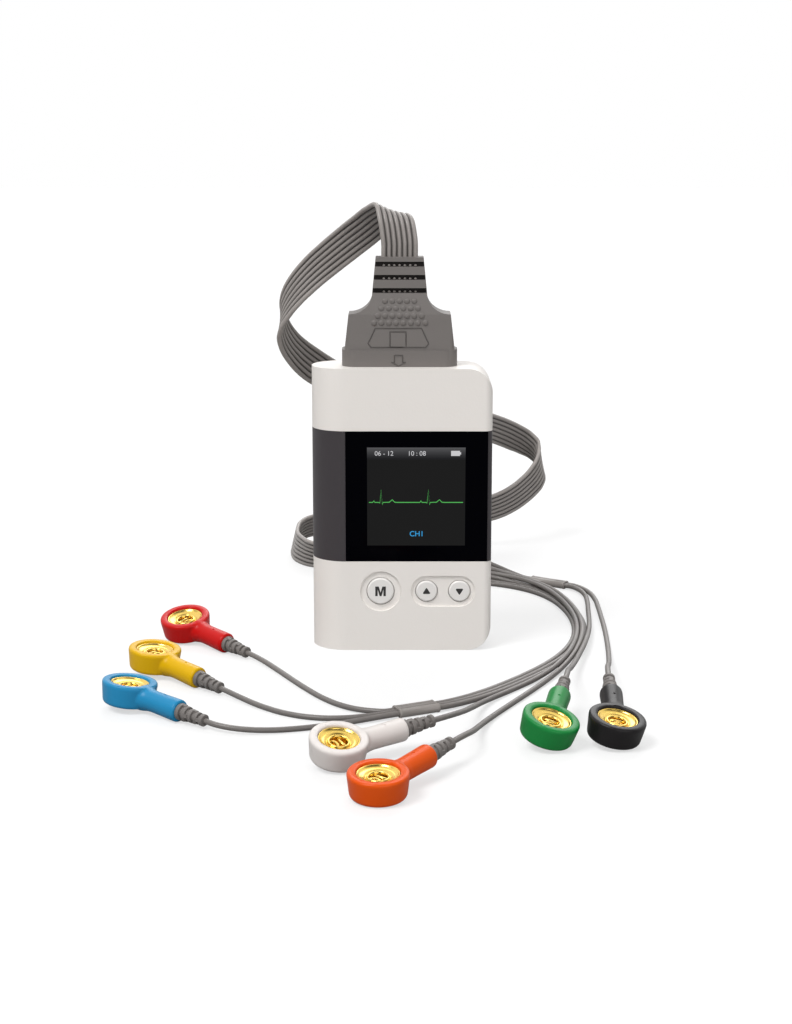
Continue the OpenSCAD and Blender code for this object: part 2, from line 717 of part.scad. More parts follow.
// End walls of the battery compartment and the wall beside the board, cut away round the menu key
module bay_walls() {
    bay_depth = inner_back_y + 0.3 - lcd_back_y - 0.3;
    notch_r = menu_r + key_flange + 0.4;
    for (z = [bay_z0, bay_z1]) translate([spine_x, 0, z]) cylinder(r = bay_r - 0.2, h = bay_wall, $fn = 96);
    difference() {
        translate([partition_x, lcd_back_y + 0.3, bay_z0])
            cube([partition_t, bay_depth, bay_z1 + bay_wall - bay_z0]);
        y_bar(menu_x, key_z, notch_r, front_y, pcb_y + pcb_t);
    }
    for (z = [bay_z0, bay_z1]) translate([spine_x, 0, z])
        cube([partition_x + tiny - spine_x, inner_back_y + tiny, bay_wall]);
}

module centre_band() color([0.3, 0.29, 0.29]) {
    difference() {
        band_space();
        lens_block(0);
        lcd_window();
    }
}

module display_lens() color([0.02, 0.02, 0.03]) lens_block(lens_gap);

module display_gasket() color([0.1, 0.1, 0.1]) {
    rim = 1.2;
    difference() {
        translate([lcd_x - lcd_w / 2, lens_back_y, lcd_z - lcd_h / 2]) cube([lcd_w, gasket_t, lcd_h]);
        translate([lcd_x - lcd_w / 2 + rim, lens_back_y - 1, lcd_z - lcd_h / 2 + rim])
            cube([lcd_w - 2 * rim, gasket_t + 2, lcd_h - 2 * rim]);
    }
}

module display_module() color([0.12, 0.12, 0.13]) {
    translate([lcd_x - lcd_w / 2, lcd_y, lcd_z - lcd_h / 2]) cube([lcd_w, lcd_t, lcd_h]);
}

// Flat flexible cable from the display's back, round to a connector on the board
module display_flex() color([0.75, 0.5, 0.15]) {
    flex_w = 10;
    flex_t = 0.15;
    plug_h = 3;
    drop_z = lcd_z - lcd_h / 2 + 1;
    translate([lcd_x - flex_w / 2, 0, 0]) {
        translate([0, lcd_back_y, drop_z]) cube([flex_w, flex_t, 5]);
        translate([0, lcd_back_y, drop_z]) cube([flex_w, pcb_y - 1 - lcd_back_y, flex_t]);
        translate([-1, pcb_y - 1, drop_z - plug_h / 2]) cube([flex_w + 2, 1, plug_h]);
    }
}

module main_board() color([0.08, 0.35, 0.2]) {
    difference() {
        intersection() {
            front_block(pcb_y, pcb_y + pcb_t) case_outline(wall + pcb_gap);
            union() {
                translate([pcb_x0, -rec_d, pcb_z0]) cube([pcb_x1 - pcb_x0, 2 * rec_d, pcb_z1 - pcb_z0]);
                translate([tab_x0, -rec_d, tab_z0]) cube([pcb_x1 - tab_x0, 2 * rec_d, pcb_z1 - tab_z0]);
            }
        }
        for (s = screws) y_bar(s[0], s[1], screw_r + 0.15, -rec_d, rec_d);
    }
}

// Processor and converter in front of the board, memory and power parts behind it
module board_chips() color([0.07, 0.07, 0.08]) {
    chip_t = 1.1;
    mid_x = (pcb_x0 + pcb_x1) / 2;
    for (c = [[mid_x - 4, lcd_z + 5, 8, 8], [mid_x + 7, lcd_z + 4, 5, 6], [mid_x + 6, lcd_z - 5, 6, 5]])
        translate([c[0] - c[2] / 2, pcb_y - chip_t, c[1] - c[3] / 2]) cube([c[2], chip_t, c[3]]);
    for (c = [[mid_x - 3, lcd_z, 9, 12], [mid_x + 7, lcd_z - 14, 5, 5], [mid_x + 7, lcd_z + 8, 4, 6]])
        translate([c[0] - c[2] / 2, pcb_y + pcb_t, c[1] - c[3] / 2]) cube([c[2], chip_t, c[3]]);
}

module switch_bodies() color([0.15, 0.15, 0.16]) {
    for (k = keys) difference() {
        translate([k[0] - switch_w / 2, switch_y, key_z - switch_w / 2]) cube([switch_w, switch_t, switch_w]);
        y_bar(k[0], key_z, plunger_r + plunger_gap, switch_y - 1, pcb_y - 0.1);
    }
}

module plunger(k) color([0.85, 0.85, 0.85]) {
    y_bar(k[0], key_z, plunger_r, stem_end_y, plunger_end_y);
}

// Key cap with a small chamfer, a flange behind the front wall and a stem to the switch
module key_cap(k) color([0.93, 0.93, 0.92]) {
    chamfer = 0.35;
    translate([k[0], key_face_y, key_z]) rotate([-90, 0, 0]) rotate_extrude() polygon([
        [0, 0], [k[1] - chamfer, 0], [k[1], chamfer], [k[1], key_flange_y - key_face_y],
        [k[1] + key_flange, key_flange_y - key_face_y],
        [k[1] + key_flange, key_flange_y + key_flange_t - key_face_y],
        [key_stem_r, key_flange_y + key_flange_t - key_face_y],
        [key_stem_r, stem_end_y - key_face_y], [0, stem_end_y - key_face_y]
    ]);
}

module battery_door() color([0.88, 0.86, 0.84]) {
    translate([0, 0, door_z0]) linear_extrude(rec_h - door_z0) {
        spine_sector(door_r0, spine_r, door_a0, door_a1);
        spine_sector(door_r0, door_r0 + rail_t, door_a0 - rail_a, door_a1 + rail_a);
    }
}

module battery_cell() color([0.75, 0.6, 0.3]) {
    translate([spine_x, 0, cell_z0]) cylinder(r = cell_r, h = cell_h - nub_h, $fn = 96);
    translate([spine_x, 0, cell_z0]) cylinder(r = nub_r, h = cell_h);
}

// Sprung contact under the cell and flat contact over it
module battery_contacts() color([0.8, 0.8, 0.78]) {
    plate_w = 8;
    translate([spine_x - plate_w / 2, -plate_w / 2, bay_z0 + bay_wall]) cube([plate_w, plate_w, contact_t]);
    translate([spine_x, 0, bay_z0 + bay_wall + contact_t]) cylinder(r1 = 3.4, r2 = 2.2, h = contact_nub);
    translate([spine_x - plate_w / 2, -plate_w / 2, cell_z1]) cube([plate_w, plate_w, contact_t]);
}

module pins(y0, y1, z0, z1, w) {
    for (i = [0:pin_count - 1])
        translate([plug_x + (i - (pin_count - 1) / 2) * pin_pitch - w / 2, y0, z0])
            cube([w, y1 - y0, z1 - z0]);
}

module socket_housing() color([0.13, 0.13, 0.14]) {
    outer_w = tongue_w + 2 * tongue_gap + 2 * housing_wall;
    outer_d = tongue_d + 2 * tongue_gap + 2 * 1.4;
    difference() {
        translate([plug_x - outer_w / 2, -outer_d / 2, housing_z0])
            cube([outer_w, outer_d, inner_top_z - housing_z0]);
        translate([plug_x - tongue_w / 2 - tongue_gap, -tongue_d / 2 - tongue_gap, housing_z0 + 1.4])
            cube([tongue_w + 2 * tongue_gap, tongue_d + 2 * tongue_gap, rec_h]);
        pins(pin_y, pcb_y, housing_z0 - 1, rec_h, pin_w);
    }
}

module socket_pins() color([0.85, 0.7, 0.3]) pins(pin_y, pcb_y, pin_z0, pin_z1, pin_w);

module case_screws() color([0.6, 0.6, 0.62]) {
    for (s = screws) difference() {
        union() {
            y_bar(s[0], s[1], screw_head_r, screw_seat_y, screw_seat_y + screw_head_h);
            y_bar(s[0], s[1], screw_r, inner_front_y + 1.2, screw_seat_y + 0.5);
        }
        for (a = [0, 90])
            translate([s[0], back_y, s[1]]) rotate([0, a, 0]) cube([2, 1.4, 0.35], center = true);
    }
}

// ---------------------------------------------------------------- plug and cable

// Outline of the plug seen from the front
module plug_outline() {
    shoulder_r = (body_top_w - neck_w) / 2;
    polygon([
        [-collar_w / 2, rec_h], [collar_w / 2, rec_h], [collar_w / 2, collar_z1],
        [body_w / 2, collar_z1], [body_top_w / 2, body_z1], [-body_top_w / 2, body_z1],
        [-body_w / 2, collar_z1], [-collar_w / 2, collar_z1]
    ]);
    difference() {
        translate([-body_top_w / 2, body_z1 - tiny]) square([body_top_w, shoulder_h + tiny]);
        for (s = [-1, 1]) translate([s * body_top_w / 2, neck_z0]) scale([shoulder_r / shoulder_h, 1])
            circle(r = shoulder_h);
    }
    polygon([
        [-neck_w / 2, neck_z0 - tiny], [neck_w / 2, neck_z0 - tiny],
        [neck_top_w / 2, neck_z1], [-neck_top_w / 2, neck_z1]
    ]);
}

// Plug seen from the side
module plug_profile() {
    polygon([
        [-collar_d / 2, rec_h], [collar_d / 2, rec_h], [collar_d / 2, collar_z1], [body_d / 2, collar_z1],
        [body_top_d / 2, body_z1], [neck_d / 2, neck_z0], [neck_top_d / 2, neck_z1],
        [-neck_top_d / 2, neck_z1], [-neck_d / 2, neck_z0], [-body_top_d / 2, body_z1],
        [-body_d / 2, collar_z1], [-collar_d / 2, collar_z1]
    ]);
}

// Rounded block from which the plug is cut
module plug_block() {
    x = collar_w / 2 - plug_round;
    y = collar_d / 2 - plug_round;
    translate([-x, -collar_d / 2]) square([2 * x, collar_d]);
    translate([-collar_w / 2, -y]) square([collar_w, 2 * y]);
    for (sx = [-x, x], sy = [-y, y]) translate([sx, sy]) circle(r = plug_round);
}

module tongue_block(z0, z1) {
    translate([plug_x - tongue_w / 2, -tongue_d / 2, z0]) cube([tongue_w, tongue_d, z1 - z0]);
}

module plug_overmould() color([0.45, 0.43, 0.42]) {
    difference() {
        translate([plug_x, 0, 0]) intersection() {
            front_block(-collar_d, collar_d) plug_outline();
            translate([-collar_w, 0, 0]) rotate([90, 0, 90]) linear_extrude(2 * collar_w) plug_profile();
            linear_extrude(2 * rec_h) plug_block();
        }
        tongue_block(rec_h - 1, rec_h + tongue_root);
        for (z = groove_z, s = [-1, 1])
            translate([
                plug_x - collar_w / 2,
                s * (neck_d / 2 + collar_d / 2 - groove_depth) - collar_d / 2,
                z
            ])
                cube([collar_w, collar_d, groove_h]);
    }
}

module plug_shell() color([0.2, 0.2, 0.21]) {
    difference() {
        tongue_block(tongue_z0, rec_h + tongue_root);
        translate([plug_x - slot_w / 2, pin_y - 0.25, tongue_z0 - 1])
            cube([slot_w, contact_y + contact_w - pin_y + 0.25, pin_z1 + 1 - tongue_z0 + 0.6]);
    }
}

module plug_contacts() color([0.85, 0.7, 0.3]) {
    pins(contact_y, contact_y + contact_w, tongue_z0 + 0.6, pin_z1 + 0.6, pin_w);
}

module ribbon_cable() color([0.48, 0.46, 0.45]) ribbon_tube();

ribbon_heading = unit(ribbon_route[len(ribbon_route) - 1][0] - ribbon_route[len(ribbon_route) - 2][0]);

// Wire n of the ribbon's end, counted from the top
function wire_end(n) =
    let (
        last = len(ribbon_route) - 1,
        end = ribbon_route[last][0],
        step = (ribbon_w - lead_d) / 6
    )
    end + (n - 4) * step * ribbon_route[last][1];

// Whole route of a lead: straight out of the ribbon, own points, straight into the relief
function lead_route(n, middle, place) = concat(
    [wire_end(n), wire_end(n) + 2 * ribbon_heading], middle,
    [
        placed([barrel_end + relief_len + relief_lead_in, 0, relief_z], place),
        placed([barrel_end + relief_len, 0, relief_z], place)
    ]
);

module lead(n, middle, place) color([0.48, 0.46, 0.45]) lead_tube(lead_route(n, middle, place), lead_d / 2);

// Flat sleeve round count leads that lie side by side
module sleeve(ends, count) color([0.62, 0.6, 0.58]) {
    run = ends[1] - ends[0];
    half = (count - 1) * sleeve_pitch / 2;
    outer_r = lead_d / 2 + sleeve_wall;
    translate(ends[0]) rotate([0, 0, atan2(run.y, run.x)]) rotate([90, 0, 90]) linear_extrude(norm(run))
        difference() {
            union() {
                translate([-half, -outer_r]) square([2 * half, 2 * outer_r]);
                for (s = [-half, half]) translate([s, 0]) circle(r = outer_r);
            }
            for (i = [0:count - 1]) translate([-half + i * sleeve_pitch, 0]) circle(r = lead_d / 2 + 0.02);
        }
}

// ---------------------------------------------------------------- snap connectors

module put(place) {
    translate([place[0], place[1], snap_lift(place)]) rotate([place[3], place[4], 0])
        rotate([0, 0, place[2]]) children();
}

// Moulded head with a recess for the metal socket, and a barrel for the lead
module snap_body(place, tint) color(tint) put(place) {
    chamfer = 0.6;
    base_r = head_r - 0.5;
    difference() {
        union() {
            rotate_extrude($fn = 96) polygon([
                [0, 0], [base_r - chamfer, 0], [base_r, chamfer], [head_r, head_h - chamfer],
                [head_r - chamfer, head_h], [0, head_h]
            ]);
            translate([0, 0, barrel_z]) rotate([0, 90, 0]) cylinder(r = barrel_r, h = barrel_end);
        }
        translate([0, 0, floor_t]) cylinder(r = cup_r, h = head_h, $fn = 96);
    }
}

// Gilt dish with a raised collar round the bore that grips the electrode's stud
module snap_socket(place) color([0.85, 0.68, 0.3]) put(place) {
    top = floor_t + stud_h + 0.4;
    rotate_extrude() polygon([
        [0, floor_t], [cup_r - socket_gap, floor_t], [cup_r - socket_gap, top + socket_lip_h],
        [cup_r - socket_gap - 0.4, top + socket_lip_h], [stud_r + lip_t + 0.8, top - 0.6],
        [stud_r + lip_t, top - 0.2], [stud_r + 0.3, top], [stud_r, top], [stud_r, floor_t + 0.4],
        [0, floor_t + 0.4]
    ]);
}

// Tapered strain relief with ribs; its profile repeats once for each rib
module relief(place) color([0.4, 0.38, 0.37]) put(place) {
    step = relief_len / (relief_ribs + 0.5);
    groove = 0.35;
    rib_points = [
        for (i = [0:relief_ribs - 1])
            let (
                r0 = mix(relief_r0, relief_r1, i / relief_ribs),
                r1 = mix(relief_r0, relief_r1, (i + 0.6) / relief_ribs)
            )
            for (p = [[r0, i], [r1, i + 0.62], [r1 - groove, i + 0.62], [r1 - groove, i + 1]])
                [p[0], p[1] * step]
    ];
    translate([barrel_end, 0, relief_z]) rotate([0, 90, 0]) rotate_extrude($fn = 32) polygon(concat(
        [[0, 0]], rib_points, [[relief_r1, relief_ribs * step], [relief_r1, relief_len], [0, relief_len]]
    ));
}

// ---------------------------------------------------------------- the assembly

front_cover();
rear_cover();
centre_band();
display_lens();
display_gasket();
display_module();
display_flex();
main_board();
board_chips();
switch_bodies();
plunger(keys[0]);  // plunger_menu
plunger(keys[1]);  // plunger_up
plunger(keys[2]);  // plunger_down
key_cap(keys[0]);  // button_menu
key_cap(keys[1]);  // button_up
key_cap(keys[2]);  // button_down
battery_door();
battery_cell();
battery_contacts();
socket_housing();
socket_pins();
case_screws();
plug_overmould();
plug_shell();
plug_contacts();
ribbon_cable();
sleeve(sleeve_pair_ends, 2);  // sleeve_pair
sleeve(sleeve_trio_ends, 3);  // sleeve_trio
lead(1, route_black, place_black);  // lead_black
lead(2, route_green, place_green);  // lead_green
lead(3, route_orange, place_orange);  // lead_orange
lead(4, route_white, place_white);  // lead_white
lead(5, route_blue, place_blue);  // lead_blue
lead(6, route_yellow, place_yellow);  // lead_yellow
lead(7, route_red, place_red);  // lead_red
relief(place_black);  // relief_black
relief(place_green);  // relief_green
relief(place_orange);  // relief_orange
relief(place_white);  // relief_white
relief(place_blue);  // relief_blue
relief(place_yellow);  // relief_yellow
relief(place_red);  // relief_red
snap_body(place_black, [0.14, 0.13, 0.13]);  // snap_black
snap_body(place_green, [0.13, 0.52, 0.27]);  // snap_green
snap_body(place_orange, [0.9, 0.36, 0.06]);  // snap_orange
snap_body(place_white, [0.86, 0.84, 0.83]);  // snap_white
snap_body(place_blue, [0.2, 0.56, 0.78]);  // snap_blue
snap_body(place_yellow, [0.88, 0.7, 0.06]);  // snap_yellow
snap_body(place_red, [0.76, 0.1, 0.08]);  // snap_red
snap_socket(place_black);  // socket_black
snap_socket(place_green);  // socket_green
snap_socket(place_orange);  // socket_orange
snap_socket(place_white);  // socket_white
snap_socket(place_blue);  // socket_blue
snap_socket(place_yellow);  // socket_yellow
snap_socket(place_red);  // socket_red
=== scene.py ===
# %% [markdown]
# # A pocket heart recorder with its ribbon cable and snap leads
# The CAD model gives every piece its size and place. This scene dresses it: soft edges on the
# mouldings, real wires, gripping sockets, a lit screen, and a finish for each piece, inside and out.

import math

import bmesh
import bpy
import numpy as np
from mathutils import Matrix, Vector


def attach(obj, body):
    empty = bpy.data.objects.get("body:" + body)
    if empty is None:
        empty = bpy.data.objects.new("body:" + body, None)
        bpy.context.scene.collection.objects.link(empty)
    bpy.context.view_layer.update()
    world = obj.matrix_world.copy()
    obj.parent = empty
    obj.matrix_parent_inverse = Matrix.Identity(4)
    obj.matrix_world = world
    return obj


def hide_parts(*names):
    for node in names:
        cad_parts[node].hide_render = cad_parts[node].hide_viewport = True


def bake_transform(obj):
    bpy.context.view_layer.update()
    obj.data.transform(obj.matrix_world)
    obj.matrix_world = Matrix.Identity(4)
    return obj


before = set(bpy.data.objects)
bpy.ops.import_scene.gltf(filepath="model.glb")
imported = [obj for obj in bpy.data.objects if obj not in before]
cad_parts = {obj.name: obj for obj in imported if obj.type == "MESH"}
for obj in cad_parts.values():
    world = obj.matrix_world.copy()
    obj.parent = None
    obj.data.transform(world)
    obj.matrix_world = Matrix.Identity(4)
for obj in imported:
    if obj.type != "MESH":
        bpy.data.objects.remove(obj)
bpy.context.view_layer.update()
scene = bpy.context.scene
scene.view_settings.view_transform = "Standard"
MM = 0.001
HOME = "recorder"

# %% [markdown]
# ## The camera
# The recorder stands upright and the camera looks down on it a little. The photograph's edges give
# the height, the tilt and the focal length; a vertical sensor fit keeps them at any frame shape.

# %% Place the camera
CAMERA_AT = (-1.57, -517.25, 147.0)
LOOK_DOWN = 12.01
FOCAL_MM = 67.24

camera_data = bpy.data.cameras.new("camera")
camera_data.sensor_fit = "VERTICAL"
camera_data.sensor_height = 36
camera_data.lens = FOCAL_MM
camera_data.clip_start = 0.01
camera = bpy.data.objects.new("camera", camera_data)
camera.location = Vector(CAMERA_AT) * MM
camera.rotation_euler = (math.radians(90 - LOOK_DOWN), 0, 0)
scene.collection.objects.link(camera)
scene.camera = camera
print("camera at", [round(x, 3) for x in camera.location])

# %% [markdown]
# ## Colours and finishes
# Colours are picked as screen values from 0 to 255 and turned into the linear values that a
# shader wants. Moulded plastic is never one even tone, so two node groups give every finish a fine
# grain and a slow drift of colour. They read Object coordinates, which stay put on each piece.

# %% Colour helper, the two shared groups, and a group that paints shade in valleys
def screen(red, green, blue):
    """A colour seen on a screen, as linear light."""
    def linear(value):
        value /= 255
        return value / 12.92 if value <= 0.04045 else ((value + 0.055) / 1.055) ** 2.4
    return (linear(red), linear(green), linear(blue), 1.0)


def add_sockets(tree, inputs, outputs):
    """Named sockets of a node tree, with the nodes that stand for them inside it."""
    for name, kind, value in inputs:
        socket = tree.interface.new_socket(name, in_out="INPUT", socket_type=kind)
        if value is not None:
            socket.default_value = value
    for name, kind in outputs:
        tree.interface.new_socket(name, in_out="OUTPUT", socket_type=kind)
    return tree.nodes.new("NodeGroupInput"), tree.nodes.new("NodeGroupOutput")


def build_grain_group():
    """Fine moulding grain: a height for Bump and a roughness that wanders a little."""
    tree = bpy.data.node_groups.new("moulding_grain", "ShaderNodeTree")
    given, out = add_sockets(
        tree,
        [("Grain Scale", "NodeSocketFloat", 1800.0), ("Least Roughness", "NodeSocketFloat", 0.4),
         ("Most Roughness", "NodeSocketFloat", 0.5)],
        [("Height", "NodeSocketFloat"), ("Roughness", "NodeSocketFloat")])
    place = tree.nodes.new("ShaderNodeTexCoord")
    grain = tree.nodes.new("ShaderNodeTexNoise")
    grain.inputs["Detail"].default_value = 2
    cloud = tree.nodes.new("ShaderNodeTexNoise")
    cloud.inputs["Scale"].default_value = 90
    spread = tree.nodes.new("ShaderNodeMapRange")
    link = tree.links.new
    link(place.outputs["Object"], grain.inputs["Vector"])
    link(place.outputs["Object"], cloud.inputs["Vector"])
    link(given.outputs["Grain Scale"], grain.inputs["Scale"])
    link(cloud.outputs["Fac"], spread.inputs["Value"])
    link(given.outputs["Least Roughness"], spread.inputs["To Min"])
    link(given.outputs["Most Roughness"], spread.inputs["To Max"])
    link(grain.outputs["Fac"], out.inputs["Height"])
    link(spread.outputs["Result"], out.inputs["Roughness"])
    return tree


def build_drift_group():
    """Slow drift between two close tones, as in coloured plastic or aged rubber."""
    tree = bpy.data.node_groups.new("tone_drift", "ShaderNodeTree")
    given, out = add_sockets(
        tree,
        [("Tone", "NodeSocketColor", None), ("Other Tone", "NodeSocketColor", None),
         ("Drift Scale", "NodeSocketFloat", 60.0)],
        [("Colour", "NodeSocketColor")])
    place = tree.nodes.new("ShaderNodeTexCoord")
    cloud = tree.nodes.new("ShaderNodeTexNoise")
    cloud.inputs["Detail"].default_value = 3
    mix = tree.nodes.new("ShaderNodeMix")
    mix.data_type = "RGBA"
    link = tree.links.new
    link(place.outputs["Object"], cloud.inputs["Vector"])
    link(given.outputs["Drift Scale"], cloud.inputs["Scale"])
    link(cloud.outputs["Fac"], mix.inputs["Factor"])
    link(given.outputs["Tone"], mix.inputs["A"])
    link(given.outputs["Other Tone"], mix.inputs["B"])
    link(mix.outputs["Result"], out.inputs["Colour"])
    return tree


def build_valley_shade_group():
    """Painted shade: darkens a colour in the valleys between wires, where little light goes."""
    tree = bpy.data.node_groups.new("valley_shade", "ShaderNodeTree")
    given, out = add_sockets(
        tree, [("Colour", "NodeSocketColor", None), ("Darkness", "NodeSocketFloat", 0.75)],
        [("Colour", "NodeSocketColor")])
    valley = tree.nodes.new("ShaderNodeAttribute")
    valley.attribute_name = "valley"
    amount = tree.nodes.new("ShaderNodeMath")
    amount.operation = "MULTIPLY"
    mix = tree.nodes.new("ShaderNodeMix")
    mix.data_type = "RGBA"
    mix.inputs["B"].default_value = (0.0, 0.0, 0.0, 1.0)
    link = tree.links.new
    link(valley.outputs["Fac"], amount.inputs[0])
    link(given.outputs["Darkness"], amount.inputs[1])
    link(amount.outputs["Value"], mix.inputs["Factor"])
    link(given.outputs["Colour"], mix.inputs["A"])
    link(mix.outputs["Result"], out.inputs["Colour"])
    return tree


GRAIN_GROUP = build_grain_group()
DRIFT_GROUP = build_drift_group()
VALLEY_SHADE_GROUP = build_valley_shade_group()
print("groups:", GRAIN_GROUP.name, DRIFT_GROUP.name, VALLEY_SHADE_GROUP.name)


# %% A function that makes any moulded, rubbery or metal finish
def use_group(material, group, **values):
    node = material.node_tree.nodes.new("ShaderNodeGroup")
    node.node_tree = group
    for name, value in values.items():
        node.inputs[name.replace("_", " ")].default_value = value
    return node


def finish(name, tone, rough, drift=0.06, grain=1800.0, depth=0.02, metal=0.0, specular=0.5):
    """Principled material with grain and drift; rough is (least, most)."""
    material = bpy.data.materials.new(name)
    material.use_nodes = True
    nodes, link = material.node_tree.nodes, material.node_tree.links.new
    shader = nodes["Principled BSDF"]
    tint = use_group(material, DRIFT_GROUP, Tone=tone, Other_Tone=[*(c * (1 - drift) for c in tone[:3]), 1.0])
    skin = use_group(material, GRAIN_GROUP, Grain_Scale=grain,
                     Least_Roughness=rough[0], Most_Roughness=rough[1])
    bump = nodes.new("ShaderNodeBump")
    bump.inputs["Strength"].default_value = depth
    bump.inputs["Distance"].default_value = 0.1 * MM
    link(tint.outputs["Colour"], shader.inputs["Base Color"])
    link(skin.outputs["Roughness"], shader.inputs["Roughness"])
    link(skin.outputs["Height"], bump.inputs["Height"])
    link(bump.outputs["Normal"], shader.inputs["Normal"])
    shader.inputs["Metallic"].default_value = metal
    shader.inputs["Specular IOR Level"].default_value = specular
    return material


# %% [markdown]
# ## The palette
# One finish for each thing that looks different in the hand: satin case, dark band, black window,
# soft grey rubber, seven coloured mouldings, gold plate, and the parts hidden inside.

# %% Mix the palette
CASE_WHITE = finish("case_white", screen(240, 235, 230), (0.42, 0.5), drift=0.015, depth=0.25)
BAND_GREY = finish("band_grey", screen(66, 62, 65), (0.36, 0.44), depth=0.2, specular=0.3)
WINDOW_BLACK = finish("window_black", screen(2, 2, 5), (0.06, 0.09), depth=0.0, specular=0.02)
KEY_WHITE = finish("key_white", screen(236, 233, 230), (0.36, 0.44), drift=0.015, depth=0.15)
LEGEND_BLACK = finish("legend_black", screen(48, 46, 46), (0.5, 0.6))
PLUG_GREY = finish("plug_grey", screen(117, 112, 109), (0.5, 0.6), depth=0.3)
CABLE_GREY = finish("cable_grey", screen(156, 150, 146), (0.34, 0.44), depth=0.2)
LEAD_GREY = finish("lead_grey", screen(116, 111, 108), (0.34, 0.44), depth=0.2)
SLEEVE_GREY = finish("sleeve_grey", screen(146, 140, 136), (0.26, 0.36), depth=0.2)
# Painted shade: the ribbon and the sleeves darken in the valleys between their lobes.
for material in (CABLE_GREY, SLEEVE_GREY):
    nodes, link = material.node_tree.nodes, material.node_tree.links.new
    shader, tint = nodes["Principled BSDF"], nodes["Group"]
    valley = use_group(material, VALLEY_SHADE_GROUP)
    link(tint.outputs["Colour"], valley.inputs["Colour"])
    link(valley.outputs["Colour"], shader.inputs["Base Color"])
GOLD = finish("gold_plate", screen(246, 210, 112), (0.2, 0.28), drift=0.12, metal=1.0, depth=0.05)
STEEL = finish("bright_steel", screen(190, 190, 192), (0.25, 0.35), metal=1.0, depth=0.1)
BOARD_GREEN = finish("board_green", screen(32, 98, 58), (0.3, 0.4), drift=0.2)
CHIP_BLACK = finish("chip_black", screen(38, 37, 40), (0.45, 0.55), depth=0.4)
FOAM_BLACK = finish("foam_black", screen(30, 30, 30), (0.85, 0.95), grain=900, depth=0.8)
FLEX_FILM = finish("flex_film", screen(190, 128, 52), (0.25, 0.35))
CELL_JACKET = finish("cell_jacket", screen(200, 160, 80), (0.22, 0.3), drift=0.15)
HEAD_TONES = {
    "black": screen(30, 28, 29),
    "green": screen(24, 130, 60),
    "orange": screen(224, 82, 2),
    "white": screen(226, 220, 216),
    "blue": screen(36, 136, 184),
    "yellow": screen(222, 174, 0),
    "red": screen(196, 12, 10),
}
HEAD_FINISHES = {
    colour: finish("head_" + colour, tone, (0.3, 0.4), drift=0.05, depth=0.12, specular=0.22)
    for colour, tone in HEAD_TONES.items()
}
print(len(bpy.data.materials), "finishes")

# %% [markdown]
# ## Small helpers for meshes
# Every piece is written in millimetres and stored in metres, with its object at the origin, so that
# its finish sits on it the same way everywhere. Lathe turns a closed outline round an axis.

# %% Mesh helpers
def outward(mesh):
    """Turns all faces of a closed mesh outwards."""
    work = bmesh.new()
    work.from_mesh(mesh)
    bmesh.ops.recalc_face_normals(work, faces=work.faces)
    work.to_mesh(mesh)
    work.free()


def add_mesh(name, points, faces, material=None, scale=MM, closed=True):
    mesh = bpy.data.meshes.new(name)
    mesh.from_pydata([tuple(np.array(p, float) * scale) for p in points], [], faces)
    mesh.validate()
    if closed:
        outward(mesh)
    if material:
        mesh.materials.append(material)
    return link_up(name, mesh)


def shade(thing, angle=35):
    """Smooth shading that keeps edges sharper than angle."""
    thing.data.shade_smooth()
    thing.data.set_sharp_from_angle(angle=math.radians(angle))
    return thing


def belong(thing, body, node=None):
    """Ties a piece to its body and hides the CAD node that it stands for."""
    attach(thing, body)
    if node:
        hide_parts(node)
    return thing


def link_up(name, mesh):
    """An object at the origin that shows a mesh."""
    thing = bpy.data.objects.new(name, mesh)
    scene.collection.objects.link(thing)
    return thing


def plain_mesh(thing):
    """Turns the modifiers of a piece into its mesh."""
    bpy.context.view_layer.update()
    seen = thing.evaluated_get(bpy.context.evaluated_depsgraph_get())
    mesh = bpy.data.meshes.new_from_object(seen)
    thing.modifiers.clear()
    thing.data = mesh
    return thing


def lathe(name, outline, steps=64, material=None, scale=1.0):
    """A closed outline of (radius, height) points turned round Z; points on the axis become poles."""
    points, rings = [], []
    for radius, height in outline:
        count = 1 if radius < 1e-6 else steps
        rings.append((len(points), count))
        for k in range(count):
            a = 2 * math.pi * k / steps
            points.append((radius * math.cos(a), radius * math.sin(a), height))
    faces = []
    for i, (start, count) in enumerate(rings):
        other, other_count = rings[(i + 1) % len(rings)]
        if count == 1 and other_count == 1:
            continue
        for k in range(steps):
            after = (k + 1) % steps
            ring = [start + k % count, start + after % count,
                    other + after % other_count, other + k % other_count]
            faces.append(list(dict.fromkeys(ring)))
    return add_mesh(name, points, faces, material, scale)


def join(name, things):
    """One mesh from several, with the finishes of each kept."""
    joined = bmesh.new()
    materials = []
    for thing in things:
        part = bmesh.new()
        part.from_mesh(thing.data)
        part.transform(thing.matrix_world)
        held = list(thing.data.materials) or [None]
        for material in held:
            if material not in materials:
                materials.append(material)
        for face in part.faces:
            face.material_index = materials.index(held[min(face.material_index, len(held) - 1)])
        loose = bpy.data.meshes.new("loose")
        part.to_mesh(loose)
        part.free()
        joined.from_mesh(loose)
        bpy.data.meshes.remove(loose)
    mesh = bpy.data.meshes.new(name)
    joined.to_mesh(mesh)
    joined.free()
    for material in materials:
        if material:
            mesh.materials.append(material)
    for thing in things:
        bpy.data.objects.remove(thing)
    return link_up(name, mesh)


def box(name, low, high, material=None):
    """A box between two corners, in millimetres."""
    points = [(x, y, z) for x in (low[0], high[0]) for y in (low[1], high[1]) for z in (low[2], high[2])]
    faces = [(0, 1, 3, 2), (4, 6, 7, 5), (0, 4, 5, 1), (2, 3, 7, 6), (0, 2, 6, 4), (1, 5, 7, 3)]
    return add_mesh(name, points, faces, material)
